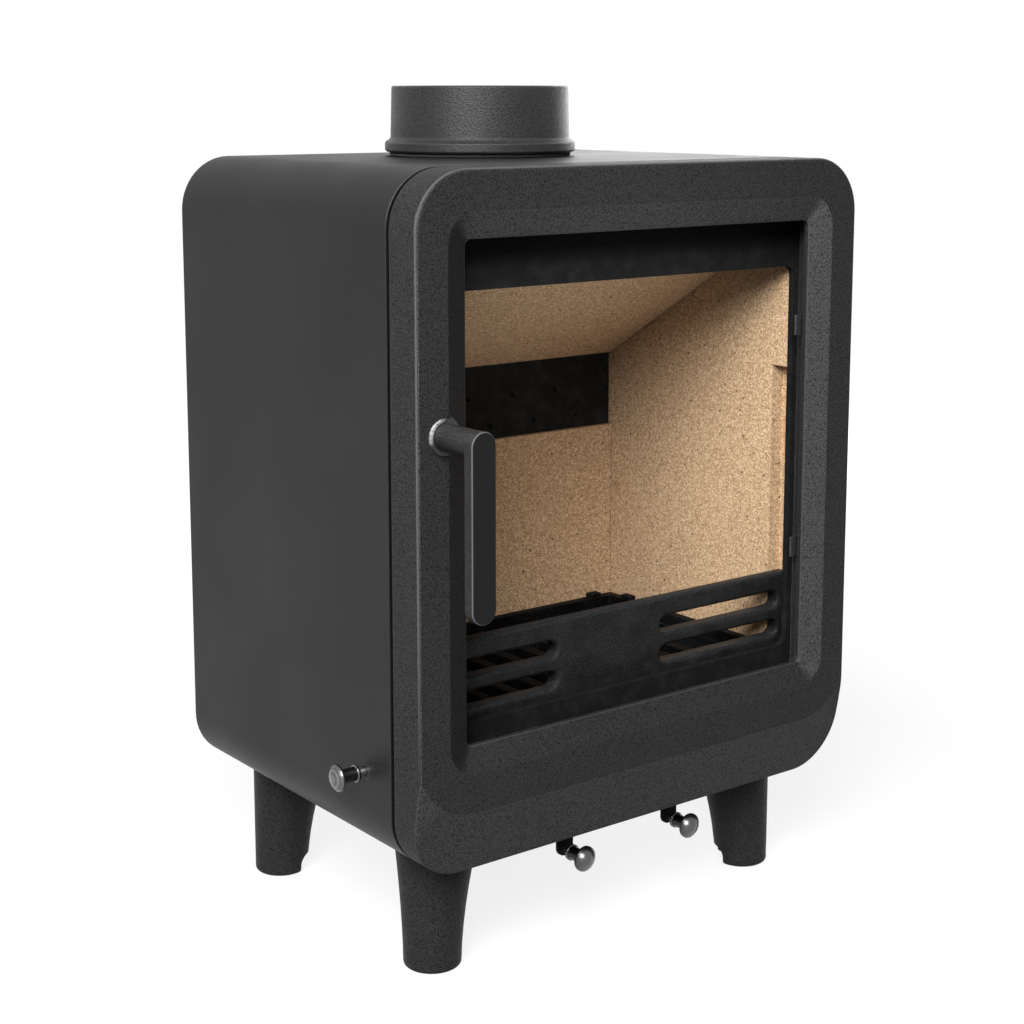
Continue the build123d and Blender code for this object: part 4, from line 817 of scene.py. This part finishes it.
class STOVE_OT_glass(StoveOperator):
    """Finish the glass pane"""
    bl_idname = "stove.glass"
    bl_label = "Glass"

    def execute(self, context):
        dress(stove_glass(), GLASS_NODES)
        return {"FINISHED"}


class STOVE_OT_seals(StoveOperator):
    """Make the rope under the collar, the rope in the door's groove and the tape round the glass"""
    bl_idname = "stove.seals"
    bl_label = "Rope seals and glass tape"

    def execute(self, context):
        kept = self.ropes
        yarn = knitted_rope(tuple(self.finishes.rope_colour))
        low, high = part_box("collar_seal")
        radius = (high.x - low.x) / 2 - kept.collar_width / 2
        section = (3, kept.collar_width / 2, (high.z - low.z) / 2)
        ring = round_ring((low + high) / 2, radius, kept.collar_strand, section[0])
        new_piece("collar_rope", wind("collar_rope", section, ring, yarn), "stove", "rope", "collar_seal")

        low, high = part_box("door_rope_seal")
        inset = Vector((kept.door_width / 2, 0, kept.door_width / 2))
        section = (4, kept.door_width / 2, (high.y - low.y) / 2)
        loop = door_loop(low + inset, high - inset, kept.door_corner, (low.y + high.y) / 2,
                         kept.door_strand, section[0])
        new_piece("door_rope", wind("door_rope", section, loop, yarn), "door", "rope", "door_rope_seal")

        low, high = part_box("glass_gasket")
        inset = Vector((kept.tape_width / 2, 0, kept.tape_width / 2))
        section = (2, kept.tape_width / 2, (high.y - low.y) / 2)
        loop = door_loop(low + inset, high - inset, kept.tape_corner, (low.y + high.y) / 2, TAPE_STEP,
                         section[0])
        new_piece("glass_tape", wind("glass_tape", section, loop, yarn), "door", "rope", "glass_gasket")
        return {"FINISHED"}


class STOVE_OT_stage(StoveOperator):
    """Set the floor, the surrounding light, the lamps and the camera"""
    bl_idname = "stove.stage"
    bl_label = "Studio stage"

    def execute(self, context):
        kept = context.scene.stove_stage
        self.lay_floor(kept)
        self.light_world(kept)
        for name, power in (("main_lamp", kept.key), ("fill_lamp", kept.fill), ("firebox_lamp", kept.beam)):
            self.hang_lamp(name, power)
        self.place_camera(kept)
        context.scene.view_settings.view_transform = "Standard"
        return {"FINISHED"}

    def lay_floor(self, kept):
        shape = bmesh.new()
        bmesh.ops.create_grid(shape, x_segments=FLOOR_CELLS, y_segments=FLOOR_CELLS, size=FLOOR_SIZE)
        mesh = bpy.data.meshes.new("studio_floor")
        shape.to_mesh(mesh)
        shape.free()
        floor = bpy.data.objects.new("studio_floor", mesh)
        bpy.context.scene.collection.objects.link(floor)
        finish = Finish("studio_floor")
        matte = finish.add("ShaderNodeBsdfDiffuse")
        matte.inputs["Color"].default_value = (*([kept.floor_tone] * 3), 1.0)
        lift = finish.add("ShaderNodeEmission")
        away = finish.add("ShaderNodeVectorMath", operation="LENGTH")
        finish.feed(away.inputs[0], finish.place)
        lifted = finish.spread(away.outputs["Value"], SHADOW_CORE * kept.floor_reach, kept.floor_reach,
                               kept.floor_lift, 1.0)
        seen = finish.sum("MULTIPLY", seen_rays(finish.tree), lifted)
        finish.feed(lift.inputs["Strength"], seen)
        both = finish.add("ShaderNodeAddShader")
        finish.feed(both.inputs[0], matte.outputs[0])
        finish.feed(both.inputs[1], lift.outputs[0])
        finish.feed(finish.output.inputs["Surface"], both.outputs[0])
        mesh.materials.append(finish.material)

    def light_world(self, kept):
        world = bpy.data.worlds.new("studio_world")
        bpy.context.scene.world = world
        world.use_nodes = True
        tree = world.node_tree
        background = tree.nodes["Background"].inputs
        strength = tree.nodes.new("ShaderNodeMapRange")
        strength.inputs["To Min"].default_value = kept.sky
        strength.inputs["To Max"].default_value = 1.0
        tree.links.new(seen_rays(tree), strength.inputs["Value"])
        tree.links.new(strength.outputs["Result"], background["Strength"])
        background["Color"].default_value = (1.0, 1.0, 1.0, 1.0)

    def hang_lamp(self, name, power):
        kind, place, target, settings = LAMPS[name]
        lamp = bpy.data.lights.new(name, kind)
        lamp.energy = power
        for setting, value in settings.items():
            setattr(lamp, setting, value)
        hung = bpy.data.objects.new(name, lamp)
        aim = Vector(target) - Vector(place)
        hung.matrix_world = Matrix.Translation(place) @ aim.to_track_quat("-Z", "Y").to_matrix().to_4x4()
        bpy.context.scene.collection.objects.link(hung)

    def place_camera(self, kept):
        lens = bpy.data.cameras.new("studio_camera")
        lens.lens = kept.lens
        lens.shift_y = kept.rise
        camera = bpy.data.objects.new("studio_camera", lens)
        camera.location = kept.eye
        camera.rotation_euler = (pi / 2 - kept.tilt, 0.0, -kept.turn)
        bpy.context.scene.collection.objects.link(camera)
        bpy.context.scene.camera = camera


OPERATORS = (STOVE_OT_casing, STOVE_OT_castings, STOVE_OT_grate, STOVE_OT_inner_plates, STOVE_OT_firebricks,
             STOVE_OT_metalwork, STOVE_OT_glass, STOVE_OT_seals, STOVE_OT_stage)


class STOVE_PT_panel(bpy.types.Panel):
    """The stove's finishes, seals and stage"""
    bl_idname = "STOVE_PT_panel"
    bl_label = "Stove"
    bl_space_type = "VIEW_3D"
    bl_region_type = "UI"
    bl_category = "Stove"

    def draw(self, context):
        for group in ("stove_finishes", "stove_ropes", "stove_stage"):
            settings = getattr(context.scene, group)
            column = self.layout.column(align=True)
            for name in settings.bl_rna.properties.keys():
                if name not in ("rna_type", "name"):
                    column.prop(settings, name)
        for operator in OPERATORS:
            self.layout.operator(operator.bl_idname)


GROUPS = {"stove_finishes": StoveFinishes, "stove_ropes": StoveRopes, "stove_stage": StoveStage}
CLASSES = (*GROUPS.values(), *OPERATORS, STOVE_PT_panel)


def register():
    for kind in CLASSES:
        bpy.utils.register_class(kind)
    for name, group in GROUPS.items():
        setattr(bpy.types.Scene, name, bpy.props.PointerProperty(type=group))


def unregister():
    for name in GROUPS:
        delattr(bpy.types.Scene, name)
    for kind in reversed(CLASSES):
        bpy.utils.unregister_class(kind)


def main():
    register()
    for operator in OPERATORS:
        family, action = operator.bl_idname.split(".")
        if getattr(getattr(bpy.ops, family), action)() != {"FINISHED"}:
            raise RuntimeError(f"{operator.bl_idname} did not finish")


if __name__ == "__main__":
    main()
